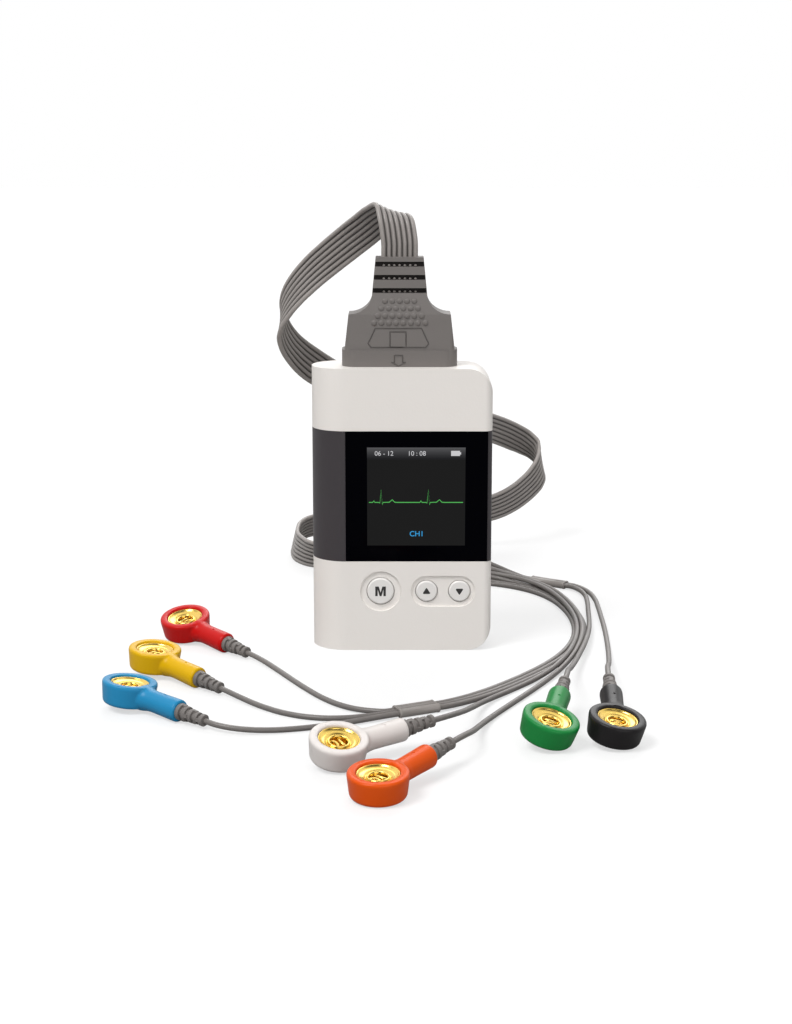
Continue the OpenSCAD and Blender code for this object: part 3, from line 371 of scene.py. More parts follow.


# %% [markdown]
# ## Smooth routes
# A lead is a line of given stops. The CAD draws the same smooth curve through them, with the
# direction at each stop led by the shorter of the two steps, so that a short straight run into a
# sleeve stays straight.

# %% Curves through the stops
def headings(stops):
    steps = np.diff(stops, axis=0)
    pull = steps / (np.linalg.norm(steps, axis=1)[:, None] ** 2)
    both = np.vstack([pull[:1], pull[:-1] + pull[1:], pull[-1:]])
    return both / np.linalg.norm(both, axis=1)[:, None]


def smooth_route(stops, parts=6):
    """Points along the smooth curve through the stops."""
    stops = np.array(stops, float)
    turn = headings(stops)
    points = []
    for a, b, ta, tb in zip(stops[:-1], stops[1:], turn[:-1], turn[1:]):
        reach = np.linalg.norm(b - a)
        for u in np.arange(parts) / parts:
            points.append((2 * u**3 - 3 * u**2 + 1) * a + (u**3 - 2 * u**2 + u) * reach * ta
                          + (3 * u**2 - 2 * u**3) * b + (u**3 - u**2) * reach * tb)
    return np.array(points + [stops[-1]])


def route_length(points):
    return float(np.linalg.norm(np.diff(points, axis=0), axis=1).sum())


# %% [markdown]
# ## The ribbon cable
# Seven round wires are welded side by side, so the cut through the ribbon is a row of seven lobes.
# The ribbon leaves the plug, folds over, drops behind the recorder in two springy loops and ends
# standing on its edge on the table. Each stop says where its middle is and which way wire seven
# lies from wire one, because a flat cable twists as well as bends. A sweep by hand keeps that twist.

# %% Route of the ribbon, as in the CAD model
RIBBON_W = 9.9
WIRE_D = 1.4
WIRE_PITCH = (RIBBON_W - WIRE_D) / 6
PLUG_X = -0.6
RIBBON_STOPS = [
    ((-0.6, 0, 107.2), (1, 0, 0)), ((-0.6, 0, 108.6), (1, 0, 0)),
    ((-0.6, 0, 110.4), (1, 0, 0)), ((-0.9, 0.4, 113.2), (1, 0.05, -0.05)),
    ((-1.5, 1.6, 116.4), (0.98, 0.08, -0.14)), ((-2.9, 5.2, 118.8), (0.95, 0.05, -0.32)),
    ((-6.2, 10, 117), (0.82, 0.1, -0.5)), ((-10.2, 14.8, 113.5), (0.68, 0, -0.7)),
    ((-14.2, 18.8, 110.2), (0.62, -0.15, -0.73)), ((-19.9, 21.8, 105.5), (0.62, -0.3, -0.71)),
    ((-24.1, 23, 101.9), (0.64, -0.43, -0.63)), ((-27.9, 23.6, 98.1), (0.6, -0.58, -0.53)),
    ((-30.9, 24.2, 94.4), (0.48, -0.73, -0.48)), ((-32.9, 25.1, 90.8), (0.3, -0.87, -0.4)),
    ((-33.9, 26.3, 87.6), (0.04, -0.92, -0.38)), ((-33.8, 27.8, 84.4), (-0.24, -0.87, -0.42)),
    ((-32.3, 29.7, 80.5), (-0.43, -0.79, -0.44)), ((-29.6, 32, 76.8), (-0.58, -0.68, -0.45)),
    ((-26, 35.6, 73.2), (-0.7, -0.5, -0.5)), ((-21.4, 41.4, 69.4), (-0.78, -0.3, -0.54)),
    ((-13, 53.6, 64.2), (-0.75, -0.15, -0.62)), ((0, 73.6, 56.9), (-0.62, -0.1, -0.76)),
    ((17, 99.4, 47.7), (-0.5, 0, -0.85)), ((27, 114.4, 42.4), (-0.42, 0.1, -0.9)),
    ((33.8, 123.8, 38.7), (-0.36, 0.2, -0.91)), ((38.6, 129.4, 35.8), (-0.32, 0.33, -0.88)),
    ((43, 132.8, 32.9), (-0.23, 0.48, -0.84)), ((46, 133.2, 30.5), (-0.1, 0.58, -0.81)),
    ((47.6, 131.6, 28.5), (0.04, 0.6, -0.8)), ((48.1, 128.8, 26.8), (0.2, 0.6, -0.77)),
    ((47.6, 125.4, 24.9), (0.4, 0.58, -0.7)), ((45.8, 122.2, 22.5), (0.52, 0.5, -0.69)),
    ((42.7, 119.8, 19.8), (0.53, 0.45, -0.72)), ((38.7, 118.2, 17), (0.46, 0.4, -0.79)),
    ((33.8, 117, 14.6), (0.37, 0.35, -0.86)), ((21, 115.4, 12), (0.2, 0.3, -0.93)),
    ((6, 114.6, 10.6), (0.05, 0.27, -0.96)), ((-9, 114.6, 9.8), (0, 0.3, -0.95)),
    ((-21, 114.9, 9), (-0.02, 0.4, -0.91)), ((-27.5, 114.3, 8.5), (-0.05, 0.5, -0.86)),
    ((-31.6, 112.6, 7.8), (-0.1, 0.52, -0.85)), ((-34.1, 109.2, 6.8), (-0.15, 0.48, -0.87)),
    ((-35, 104.2, 5.8), (-0.2, 0.46, -0.86)), ((-34.6, 98, 5.1), (-0.22, 0.46, -0.86)),
    ((-32.8, 92, 5.05), (-0.22, 0.48, -0.85)), ((-29.6, 86.6, 4.95), (-0.18, 0.52, -0.83)),
    ((-24.6, 82.6, 4.85), (-0.1, 0.44, -0.89)), ((-17, 79.2, 5), (-0.05, 0.3, -0.95)),
    ((-8.5, 76.1, 5.1), (0, 0.15, -0.98)), ((0, 73.2, 5.15), (0, 0, -1)),
    ((8, 70.2, 5.15), (0, 0, -1)),
]
LOBE_STEPS = 7


# %% Lobed sections, for the ribbon and for the sleeves
def lobed_section(count, pitch, radius, valley, steps=LOBE_STEPS):
    """Outline of round wires side by side; valley is the angle at which one lobe meets the next."""
    reach = np.linspace(180 - valley, valley, steps)
    points = []
    for side in (1, -1):
        order = range(count) if side > 0 else range(count - 1, -1, -1)
        for k in order:
            middle = (k - (count - 1) / 2) * pitch
            turns = reach if side > 0 else reach[::-1]
            if k == 0:
                first, last = (180, valley) if side > 0 else (valley, 170)
                turns = np.linspace(first, last, steps)
            if k == count - 1:
                first, last = (180 - valley, 0) if side > 0 else (10, 180 - valley)
                turns = np.linspace(first, last, steps)
            for a in np.radians(turns):
                points.append((middle + radius * math.cos(a), side * radius * math.sin(a)))
    return np.array(points)


VALLEY_REACH = 0.55


def sweep(name, centres, across, over, sections, material):
    """A closed skin through one section at each centre; across and over are the section's two directions."""
    points, faces = [], []
    size = len(sections[0])
    for c, a, o, section in zip(centres, across, over, sections):
        points += [c + u * a + v * o for u, v in section]
    for i in range(len(centres) - 1):
        for k in range(size):
            after = (k + 1) % size
            faces.append((i * size + k, i * size + after, (i + 1) * size + after, (i + 1) * size + k))
    faces.append(tuple(range(size)))
    faces.append(tuple(range(len(points) - 1, len(points) - size - 1, -1)))
    thing = add_mesh(name, points, faces, material)
    # How deep each point lies in a valley between lobes; the finish paints shade there.
    depth = thing.data.attributes.new("valley", "FLOAT", "POINT")
    side, reach = np.abs(np.concatenate(sections)).T
    inner = side < side.max() - reach.max()
    deep = np.where(inner, np.clip((reach.max() - reach) / (reach.max() * VALLEY_REACH), 0, 1), 0)
    depth.data.foreach_set("value", deep.astype(np.float32))
    return thing


RIBBON_PARTS = 5
ribbon_stops = np.array([row[0] for row in RIBBON_STOPS], float)
ribbon_sides = np.array([row[1] for row in RIBBON_STOPS], float)
ribbon_line = smooth_route(ribbon_stops, RIBBON_PARTS)
ribbon_run = headings(ribbon_line)
rows = np.arange(len(ribbon_line)) / RIBBON_PARTS
ribbon_across = np.stack(
    [np.interp(rows, np.arange(len(RIBBON_STOPS)), ribbon_sides[:, k]) for k in range(3)], axis=1)
ribbon_across -= (ribbon_across * ribbon_run).sum(axis=1)[:, None] * ribbon_run
ribbon_across /= np.linalg.norm(ribbon_across, axis=1)[:, None]
ribbon_over = np.cross(ribbon_across, ribbon_run)
ribbon_section = lobed_section(7, WIRE_PITCH, WIRE_D / 2, 14)
ribbon = sweep("ribbon_skin", ribbon_line, ribbon_across, ribbon_over,
               [ribbon_section] * len(ribbon_line), CABLE_GREY)
shade(ribbon, 60)
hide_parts("ribbon_cable")
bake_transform(ribbon)
print(f"ribbon {route_length(ribbon_line):.0f} mm, {len(ribbon.data.polygons)} faces")

# %% [markdown]
# ## Where the snaps lie
# Each snap has a place on the table, a turn and a small lean. One matrix puts a piece drawn flat,
# with its bore at the origin and its barrel along X, into that place. The same matrix tells where
# the end of the strain relief is, which is where its lead has to arrive.

# %% Placing of the snaps
HEAD_R = 6.9
BARREL_R, BARREL_END, RELIEF_LEN, RELIEF_LEAD_IN = 2.8, 18.0, 8.5, 3.0
PLACES = {
    "black": (49.4, -88.9, 89, 9.3, 9.9),
    "green": (33.4, -90.1, 79.5, 10.8, 14.5),
    "orange": (-5.4, -125.0, 52, 6.3, 0.0),
    "white": (-15, -103.9, 36, 14.7, 6.4),
    "blue": (-68.3, -61.1, -39, -1.3, 6.7),
    "yellow": (-65.4, -32.3, -43.8, 3.1, 4.8),
    "red": (-60.1, 1.2, -46.8, 13.0, -5.5),
}


def place_of(colour):
    x, y, yaw, lean_x, lean_y = PLACES[colour]
    lean_x, lean_y = math.radians(lean_x), math.radians(lean_y)
    turn = (Matrix.Rotation(lean_y, 4, "Y") @ Matrix.Rotation(lean_x, 4, "X")
            @ Matrix.Rotation(math.radians(yaw), 4, "Z"))
    rim = HEAD_R * math.sqrt(1 - (math.cos(lean_x) * math.cos(lean_y)) ** 2)
    lift = max(rim, -(turn @ Vector((BARREL_END, 0, 0))).z)
    return Matrix.Translation((x, y, lift)) @ turn


def placed(colour, point):
    return np.array(place_of(colour) @ Vector(point))


print({colour: round(place_of(colour).translation.z, 2) for colour in PLACES})

# %% [markdown]
# ## The leads
# Beyond the ribbon each wire runs alone, some of them held side by side by two flat sleeves. A
# Geometry Nodes tree turns a line of points into a round wire. The same tree later draws the
# sockets' springs, the marks on the plug and the trace on the screen, so one idea serves four jobs.

# %% Node tree that makes a wire along a path
def coat_and_end(tree, made, given, out):
    """Every tree ends alike: real geometry, then the chosen finish on it."""
    real = tree.nodes.new("GeometryNodeRealizeInstances")
    coat = tree.nodes.new("GeometryNodeSetMaterial")
    tree.links.new(made, real.inputs["Geometry"])
    tree.links.new(real.outputs["Geometry"], coat.inputs["Geometry"])
    tree.links.new(given.outputs["Material"], coat.inputs["Material"])
    tree.links.new(coat.outputs["Geometry"], out.inputs["Geometry"])


def build_wire_tree():
    tree = bpy.data.node_groups.new("wire_along_path", "GeometryNodeTree")
    given, out = add_sockets(
        tree, [("Geometry", "NodeSocketGeometry", None), ("Radius", "NodeSocketFloat", WIRE_D / 2 * MM),
               ("Sides", "NodeSocketInt", 16), ("Material", "NodeSocketMaterial", None)],
        [("Geometry", "NodeSocketGeometry")])
    nodes, link = tree.nodes, tree.links.new
    to_curve = nodes.new("GeometryNodeMeshToCurve")
    circle = nodes.new("GeometryNodeCurvePrimitiveCircle")
    to_mesh = nodes.new("GeometryNodeCurveToMesh")
    to_mesh.inputs["Fill Caps"].default_value = True
    smooth = nodes.new("GeometryNodeSetShadeSmooth")
    link(given.outputs["Geometry"], to_curve.inputs["Mesh"])
    link(given.outputs["Radius"], circle.inputs["Radius"])
    link(given.outputs["Sides"], circle.inputs["Resolution"])
    link(to_curve.outputs["Curve"], to_mesh.inputs["Curve"])
    link(circle.outputs["Curve"], to_mesh.inputs["Profile Curve"])
    link(to_mesh.outputs["Mesh"], smooth.inputs["Geometry"])
    coat_and_end(tree, smooth.outputs["Geometry"], given, out)
    return tree


def run_tree(thing, tree, **values):
    """Runs a node tree on a piece and keeps the result as its mesh."""
    modifier = thing.modifiers.new(tree.name, "NODES")
    modifier.node_group = tree
    for item in tree.interface.items_tree:
        if item.item_type == "SOCKET" and item.in_out == "INPUT" and item.name in values:
            modifier[item.identifier] = values[item.name]
    return plain_mesh(thing)


WIRE_TREE = build_wire_tree()


def wire(name, paths, radius, material, sides=16):
    """Round wire along one or more paths given in millimetres."""
    points, edges = [], []
    for path in paths:
        start = len(points)
        points += [tuple(np.array(p, float) * MM) for p in path]
        edges += [(start + i, start + i + 1) for i in range(len(path) - 1)]
    mesh = bpy.data.meshes.new(name)
    mesh.from_pydata(points, edges, [])
    return run_tree(link_up(name, mesh), WIRE_TREE, Radius=radius * MM, Sides=sides, Material=material)


# %% Routes of the seven leads, as in the CAD model
PAIR_ENDS = [(40.9, 66.6, 1.1), (51.3, 59.5, 1.1)]
TRIO_ENDS = [(8.4, -62.7, 1.1), (-1.5, -67.6, 1.1)]
SLEEVE_PITCH = 1.5
SLEEVE_LEAD_IN = 2.0
PAIR, TRIO = (PAIR_ENDS, 2), (TRIO_ENDS, 3)


def in_sleeve(sleeve, n):
    """The four stops of wire n of a sleeve: just before it, both ends, just after it."""
    (start, end), count = np.array(sleeve[0], float), sleeve[1]
    run = (end - start) / np.linalg.norm(end - start)
    side = np.array([-run[1], run[0], 0]) * (n - (count - 1) / 2) * SLEEVE_PITCH
    return [start + side - SLEEVE_LEAD_IN * run, start + side, end + side, end + side + SLEEVE_LEAD_IN * run]


LEAD_STOPS = {
    "black": [
        (11.77, 68.99, 9.61), (17.25, 68.81, 9.1), (24.11, 69.8, 7.09), (30.72, 70.42, 4.23),
        (35.82, 69.76, 2.16),
        *in_sleeve(PAIR, 1),
        (55.62, 55.94, 1.04), (57.61, 50.77, 0.94), (58.55, 43.61, 0.83), (58.6, 33.13, 0.76),
        (58.35, 22.68, 0.76), (58.07, 13.06, 0.76), (57.6, 2.66, 0.76), (56.93, -7.71, 0.84),
        (56.07, -18.06, 1.35), (55.02, -28.32, 2.58), (53.78, -38.43, 4.58), (52.46, -48.4, 7.13),
        (51.55, -56.13, 8.76),
    ],
    "green": [
        (11.78, 69.01, 8.12), (16.49, 68.63, 7.72), (22.71, 69.01, 6.21), (30.28, 69.21, 3.48),
        (34.78, 68.54, 1.99),
        *in_sleeve(PAIR, 0),
        (54.78, 53.9, 1.04), (55.98, 48.47, 0.93), (55.99, 40.37, 0.8), (55.25, 29.88, 0.81),
        (54.47, 19.43, 1.08), (53.46, 9.05, 1.55), (52.12, -0.47, 1.98), (50.24, -10.72, 2.3),
        (47.97, -20.89, 2.51), (45.67, -31.03, 2.99), (43.76, -40.35, 4.23), (42.23, -50.33, 6.68),
        (41.3, -58.04, 8.45),
    ],
    "orange": [
        (11.75, 68.86, 6.64), (18.01, 67.93, 6.16), (26.63, 67.36, 4.75), (31.89, 66.1, 3.69),
        (36.67, 63.59, 2.82), (40.15, 60.47, 2.37), (43.76, 55.31, 2.16), (46.58, 48.72, 2.21),
        (49.04, 39.44, 2.2), (50.77, 29.16, 2.11), (51.57, 19.58, 2.09), (51.46, 9.17, 2.14),
        (50.42, -1.19, 2.25), (48.56, -11.44, 2.17), (45.73, -21.44, 1.64), (42.19, -30.35, 1.12),
        (37.73, -39.75, 0.81), (33.03, -49.05, 0.76), (28.18, -58.27, 0.76), (23.38, -67.52, 0.79),
        (19.97, -75.61, 1.23), (17.88, -83.24, 2.35), (16.06, -93.25, 4.66), (14.57, -98.5, 5.76),
    ],
    "white": [
        (11.81, 69.02, 5.17), (20.45, 67.66, 4.34), (28.17, 66.09, 3.34), (33.91, 63.55, 2.81),
        (38.21, 60.15, 2.53), (41.61, 55.82, 2.37), (44.73, 49.4, 2.27), (47.37, 40.18, 2.19),
        (49.17, 29.92, 2.1), (50.07, 19.55, 2.06), (49.92, 8.34, 2.12), (48.82, -2.01, 2.26),
        (46.91, -12.25, 2.35), (44.01, -22.23, 2.12), (40.09, -30.96, 1.54), (34.99, -39.06, 0.99),
        (28.24, -48.01, 0.76), (22.8, -55.91, 1.06), (19.64, -62.32, 1.78), (16.84, -71.37, 3.43),
        (14.23, -80.46, 5.35), (12.12, -84.67, 6.06),
    ],
    "blue": [
        (11.73, 68.77, 3.7), (20.21, 66.7, 3.23), (29.41, 64.49, 2.2), (35.09, 61.86, 1.44),
        (39.44, 58.52, 0.99), (43.5, 53.69, 0.79), (46.88, 47.4, 0.76), (49.67, 39.08, 0.76),
        (51.64, 28.87, 0.76), (52.45, 18.51, 0.76), (52.13, 8.13, 0.76), (50.63, -2.14, 0.76),
        (47.82, -12.13, 0.76), (43.76, -21.67, 0.76), (38.68, -30.73, 0.76), (32.87, -39.36, 0.76),
        (26.61, -47.66, 0.79), (19.85, -55.56, 0.91), (13.96, -60.94, 1.05),
        *in_sleeve(TRIO, 2),
        (-6.48, -71.77, 1.04), (-15.2, -75.82, 0.84), (-24.21, -79.19, 0.77), (-31.97, -81.18, 0.96),
        (-37.51, -81.62, 1.27), (-41.38, -81.11, 1.56),
    ],
    "yellow": [
        (11.79, 68.94, 2.23), (21.81, 66.28, 1.6), (29.98, 63.21, 1.02), (35.4, 59.95, 0.84),
        (40.01, 55.65, 0.77), (44.02, 49.76, 0.76), (47.13, 42.44, 0.76), (49.46, 33.16, 0.76),
        (50.79, 22.05, 0.76), (50.88, 11.67, 0.76), (49.78, 1.36, 0.76), (47.38, -8.73, 0.76),
        (43.35, -19.15, 0.76), (38.45, -28.3, 0.76), (32.76, -36.99, 0.76), (26.06, -45.96, 0.78),
        (19.36, -53.91, 0.91), (13.55, -59.38, 1.05),
        *in_sleeve(TRIO, 1),
        (-6.89, -70.02, 1.05), (-12.94, -71.65, 0.93), (-18.38, -71.74, 0.84), (-23.65, -70.39, 0.78),
        (-28.49, -67.81, 0.76), (-34.58, -62.77, 0.86), (-41.17, -55.86, 1.32),
    ],
    "red": [
        (11.71, 68.72, 0.76), (20.7, 65.37, 0.76), (29.54, 61.71, 0.76), (34.88, 58.3, 0.76),
        (39.39, 53.86, 0.76), (42.9, 48.57, 0.76), (45.95, 41.22, 0.76), (48.18, 31.89, 0.76),
        (49.35, 21.55, 0.76), (49.37, 11.15, 0.76), (48.17, 0.82, 0.76), (45.66, -9.26, 0.76),
        (42.16, -18.2, 0.76), (37.28, -27.38, 0.76), (31.57, -36.09, 0.76), (25.36, -44.45, 0.78),
        (18.69, -52.46, 0.9), (12.92, -57.99, 1.04),
        *in_sleeve(TRIO, 0),
        (-7.72, -66.55, 1.04), (-11.92, -64.5, 0.95), (-15.5, -61.32, 0.87), (-19.44, -56.2, 0.79),
        (-24.33, -47.8, 0.76), (-28.74, -39.18, 0.76), (-33.12, -30.58, 0.88), (-37.24, -23.7, 1.26),
    ],
}
LEAD_ORDER = list(LEAD_STOPS)
ribbon_end = ribbon_stops[-1]
ribbon_heading = ribbon_stops[-1] - ribbon_stops[-2]
ribbon_heading /= np.linalg.norm(ribbon_heading)


def lead_stops(colour):
    start = ribbon_end + (LEAD_ORDER.index(colour) - 3) * WIRE_PITCH * ribbon_sides[-1]
    finish_x = BARREL_END + RELIEF_LEN
    return [start, start + 2 * ribbon_heading, *LEAD_STOPS[colour],
            placed(colour, (finish_x + RELIEF_LEAD_IN, 0, BARREL_R)), placed(colour, (finish_x, 0, BARREL_R))]


leads, lead_lines = {}, {}
for colour in LEAD_ORDER:
    line = smooth_route(lead_stops(colour), 5)
    lead_lines[colour] = line
    leads[colour] = wire(f"lead_skin_{colour}", [line], WIRE_D / 2, LEAD_GREY)
    belong(leads[colour], HOME, "lead_" + colour)
    print(f"{colour} lead {route_length(line):.0f} mm")

# %% [markdown]
# ## A snap
# The moulding is a cup with a barrel for the lead. The two are joined, then a fine remesh and a
# little smoothing melt every edge and the corner where barrel meets cup, as a warm soft moulding
# has. All seven are the same mesh in another place, so any change is made once.

# %% Mould one snap
SNAP_OUTLINE = [(0, 0), (5.5, 0), (6.1, 0.2), (6.4, 0.7), (6.9, 5.0), (6.88, 5.5), (6.6, 5.82), (6.2, 5.9),
                (5.3, 5.9), (4.95, 5.8), (4.85, 5.6), (4.85, 1.8), (0, 1.8)]
VOXEL = 0.24
PINHOLE_R, PINHOLE_X = 0.34, 12.6


def cut(thing, other, operation):
    modifier = thing.modifiers.new(operation, "BOOLEAN")
    modifier.operation = operation
    modifier.solver = "EXACT"
    modifier.object = other
    plain_mesh(thing)
    bpy.data.objects.remove(other)
    return thing


def turn_mesh(thing, matrix):
    thing.data.transform(matrix)


def mould_snap():
    head = lathe("snap_mould", SNAP_OUTLINE, 96)
    barrel_outline = [(0, 5.2), (3.3, 5.2), (3.05, 6.6), (2.8, 7.6), (2.68, 9), (2.7, 12), (2.8, 16.5),
                      (2.8, 17.7), (2.5, BARREL_END), (0, BARREL_END)]
    barrel = lathe("barrel", barrel_outline, 64)
    lie = Matrix.Translation((0, 0, BARREL_R)) @ Matrix.Rotation(math.pi / 2, 4, "Y")
    turn_mesh(barrel, lie)
    cut(head, barrel, "UNION")
    remesh = head.modifiers.new("remesh", "REMESH")
    remesh.mode = "VOXEL"
    remesh.voxel_size = VOXEL
    soften = head.modifiers.new("soften", "SMOOTH")
    soften.factor = 0.5
    soften.iterations = 6
    plain_mesh(head)
    hole = lathe("pinhole", [(0, 4.4), (PINHOLE_R, 4.4), (PINHOLE_R, 6), (0, 6)], 20)
    turn_mesh(hole, Matrix.Translation((PINHOLE_X, 0, 0)))
    cut(head, hole, "DIFFERENCE")
    head.data.shade_smooth()
    return head


def stamp(name, pattern, colour, material):
    """A copy of a flat-drawn piece, put in the place of one snap."""
    mesh = pattern.data.copy()
    mesh.transform(Matrix.Scale(MM, 4) @ place_of(colour))
    if material:
        mesh.materials.clear()
        mesh.materials.append(material)
    return link_up(name, mesh)


snap_mould = mould_snap()
print("snap mould:", len(snap_mould.data.polygons), "faces")

# %% [markdown]
# ## The socket in a snap
# A turned gilt dish sits in the cup. Its raised collar surrounds the bore, and two sprung wires
# across the bore grip the neck of the electrode's stud.

# %% Turn one socket
SOCKET_OUTLINE = [(0, 1.8), (4.8, 1.8), (4.8, 5.2), (4.7, 5.32), (4.55, 5.3), (4.42, 5.12), (4.2, 4.9),
                  (3.6, 4.76), (3.05, 4.66), (2.85, 4.42), (2.7, 4.4), (2.62, 4.62), (2.48, 4.76),
                  (2.26, 4.78), (2.1, 4.66), (2.0, 4.4), (2.0, 2.2), (0, 2.2)]
socket_dish = lathe("socket_dish", SOCKET_OUTLINE, 72, GOLD)
shade(socket_dish, 50)
SPRING_GAP, SPRING_Z, SPRING_R, SPRING_REACH = 0.55, 4.15, 0.36, 1.85
spring_paths = [[(side * (SPRING_GAP + 0.2 * y * y), y, SPRING_Z - 0.12 * y * y)
                 for y in np.linspace(-SPRING_REACH, SPRING_REACH, 9)] for side in (-1, 1)]
springs = wire("socket_springs", spring_paths, SPRING_R, GOLD, sides=12)
turn_mesh(springs, Matrix.Scale(1 / MM, 4))
socket_mould = join("socket_mould", [socket_dish, springs])
print("socket mould:", len(socket_mould.data.polygons), "faces")

# %% [markdown]
# ## The strain relief
# Rubber fingers round the lead let it bend without a sharp corner. Rings of falling size stand on
# a thin core, and short bridges join each ring to the next, turned a quarter each time.

# %% Mould one relief
RELIEF_RINGS, RELIEF_TIP = 4, 1.1
RING_R, RING_FALL = 2.12, 0.2
BRIDGE_HALF = 0.45


def mould_relief():
    outline = [(0, -0.6), (2.05, -0.6), (2.1, 0.2)]
    step = (RELIEF_LEN - RELIEF_TIP) / RELIEF_RINGS
    for i in range(RELIEF_RINGS):
        start, wide = i * step, RING_R - RING_FALL * i
        outline += [(wide, start + 0.2), (wide - 0.03, start + 0.95), (wide - 0.14, start + 1.07),
                    (wide - 0.62, start + 1.12), (wide - 0.66, start + step - 0.06),
                    (wide - 0.3, start + step)]
    tip = RELIEF_RINGS * step
    outline += [(1.5, tip + 0.1), (1.5, tip + 0.9), (1.36, tip + 1.05), (0.9, tip + 1.1), (0, tip + 1.1)]
    core = lathe("relief_mould", outline, 48, None)
    turn = Matrix.Translation((BARREL_END, 0, BARREL_R)) @ Matrix.Rotation(math.pi / 2, 4, "Y")
    turn_mesh(core, turn)
    bridges = [core]
    for i in range(RELIEF_RINGS):
        wide = RING_R - RING_FALL * i
        for side in (-1, 1):
            low_x, high_x = BARREL_END + i * step + 0.9, BARREL_END + (i + 1) * step + 0.15
            near, far = wide - 0.7, wide - 0.1
            spans = (side * near, side * far)
            if i % 2:
                low = (low_x, min(spans), BARREL_R - BRIDGE_HALF)
                high = (high_x, max(spans), BARREL_R + BRIDGE_HALF)
            else:
                low = (low_x, -BRIDGE_HALF, BARREL_R + min(spans))
                high = (high_x, BRIDGE_HALF, BARREL_R + max(spans))
            bridge = box("bridge", low, high)
            turn_mesh(bridge, Matrix.Scale(1 / MM, 4))
            bridges.append(bridge)
    whole = join("relief_mould", bridges)
    return shade(whole, 40)


relief_mould = mould_relief()
print("relief mould:", len(relief_mould.data.polygons), "faces")

# %% Stamp the seven snaps, each with its socket and relief
for colour in LEAD_ORDER:
    snap = stamp(f"snap_skin_{colour}", snap_mould, colour, HEAD_FINISHES[colour])
    socket = stamp(f"socket_skin_{colour}", socket_mould, colour, None)
    relief = stamp(f"relief_skin_{colour}", relief_mould, colour, PLUG_GREY)
    for piece, node, slot in ((snap, "snap_", "snap_" + colour), (socket, "socket_", "gilt"),
                              (relief, "relief_", "sleeve_grey")):
        belong(piece, HOME, node + colour)
    line = lead_lines[colour]
for mould in (snap_mould, socket_mould, relief_mould):
    bpy.data.objects.remove(mould)
print("seven snaps stamped")

# %% [markdown]
# ## The two sleeves
# A sleeve is a short sweep of the same lobed section, with wider lobes, that holds two or three
# leads side by side. A thin lip at each end catches the light.

# %% Sweep the sleeves
LIP_STEPS = [(0, 1.0), (0.05, 1.1), (0.25, 1.2), (0.5, 1.18), (0.62, 1.1)]


def sleeve(name, node, ends, count):
    start, end = np.array(ends, float)
    length = np.linalg.norm(end - start)
    run = (end - start) / length
    across = np.array([-run[1], run[0], 0])
    over = np.array([0, 0, 1.0])
    stations = LIP_STEPS + [(length - s, r) for s, r in reversed(LIP_STEPS)]
    sections = []
    for _, radius in stations:
        valley = math.degrees(math.acos(SLEEVE_PITCH / 2 / radius)) - 4
        sections.append(lobed_section(count, SLEEVE_PITCH, radius, valley, 9))
    centres = [start + s * run for s, _ in stations]
    thing = sweep(name, centres, [across] * len(centres), [over] * len(centres), sections, SLEEVE_GREY)
    belong(shade(thing, 35), HOME, node)


sleeve("sleeve_skin_pair", "sleeve_pair", PAIR_ENDS, 2)
sleeve("sleeve_skin_trio", "sleeve_trio", TRIO_ENDS, 3)
print("sleeves swept")

# %% [markdown]
# ## Soft edges for the mouldings
# Injection mouldings never have knife edges. A skin is a copy of a CAD piece whose facets are first
# merged into whole faces, so that the bevel finds only the real edges, which it then rounds.

# %% Skins of the CAD mouldings
def skin(node, width, material, slot, body, segments=2, angle=38):
    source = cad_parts[node]
    mesh = source.data.copy()
    mesh.transform(source.matrix_world)
    work = bmesh.new()
    work.from_mesh(mesh)
    bmesh.ops.remove_doubles(work, verts=work.verts, dist=2e-6)
    bmesh.ops.dissolve_limit(work, angle_limit=math.radians(0.8), verts=work.verts, edges=work.edges)
    work.to_mesh(mesh)
    work.free()
    mesh.materials.clear()
    mesh.materials.append(material)
    thing = link_up(node + "_skin", mesh)
    if width:
        bevel = thing.modifiers.new("edge", "BEVEL")
        bevel.limit_method = "ANGLE"
        bevel.angle_limit = math.radians(angle)
        bevel.width = width * MM
        bevel.segments = segments
        plain_mesh(thing)
    shade(thing, 30)
    flat = thing.modifiers.new("flat_faces", "WEIGHTED_NORMAL")
    flat.weight = 100
    flat.keep_sharp = True
    plain_mesh(thing)
    belong(thing, body, node)
    print(node, "skin:", len(mesh.polygons), "->", len(thing.data.polygons), "faces")


skin("front_cover", 0.3, CASE_WHITE, "case_white", HOME)
skin("battery_door", 0.12, CASE_WHITE, "case_white", "door")
for name in ("menu", "up", "down"):
    skin("button_" + name, 0.15, KEY_WHITE, "key_white", "key_" + name)
skin("plug_overmould", 0.45, PLUG_GREY, "plug_grey", "plug", segments=3)

# %% Finishes of the CAD pieces that keep their shape
FINISHES = {
    "rear_cover": CASE_WHITE, "centre_band": BAND_GREY, "display_lens": WINDOW_BLACK,
    "display_gasket": FOAM_BLACK, "display_module": WINDOW_BLACK, "display_flex": FLEX_FILM,
    "main_board": BOARD_GREEN, "board_chips": CHIP_BLACK, "switch_bodies": CHIP_BLACK,
    "plunger_menu": KEY_WHITE, "plunger_up": KEY_WHITE, "plunger_down": KEY_WHITE,
    "battery_cell": CELL_JACKET, "battery_contacts": STEEL, "socket_housing": CHIP_BLACK,
    "socket_pins": GOLD, "case_screws": STEEL, "plug_shell": CHIP_BLACK, "plug_contacts": GOLD,
}
for node, material in FINISHES.items():
    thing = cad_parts[node]
    if not thing.material_slots:
        thing.data.materials.append(material)
    for slot in thing.material_slots:
        slot.material = material
print(len(FINISHES), "CAD pieces dressed")
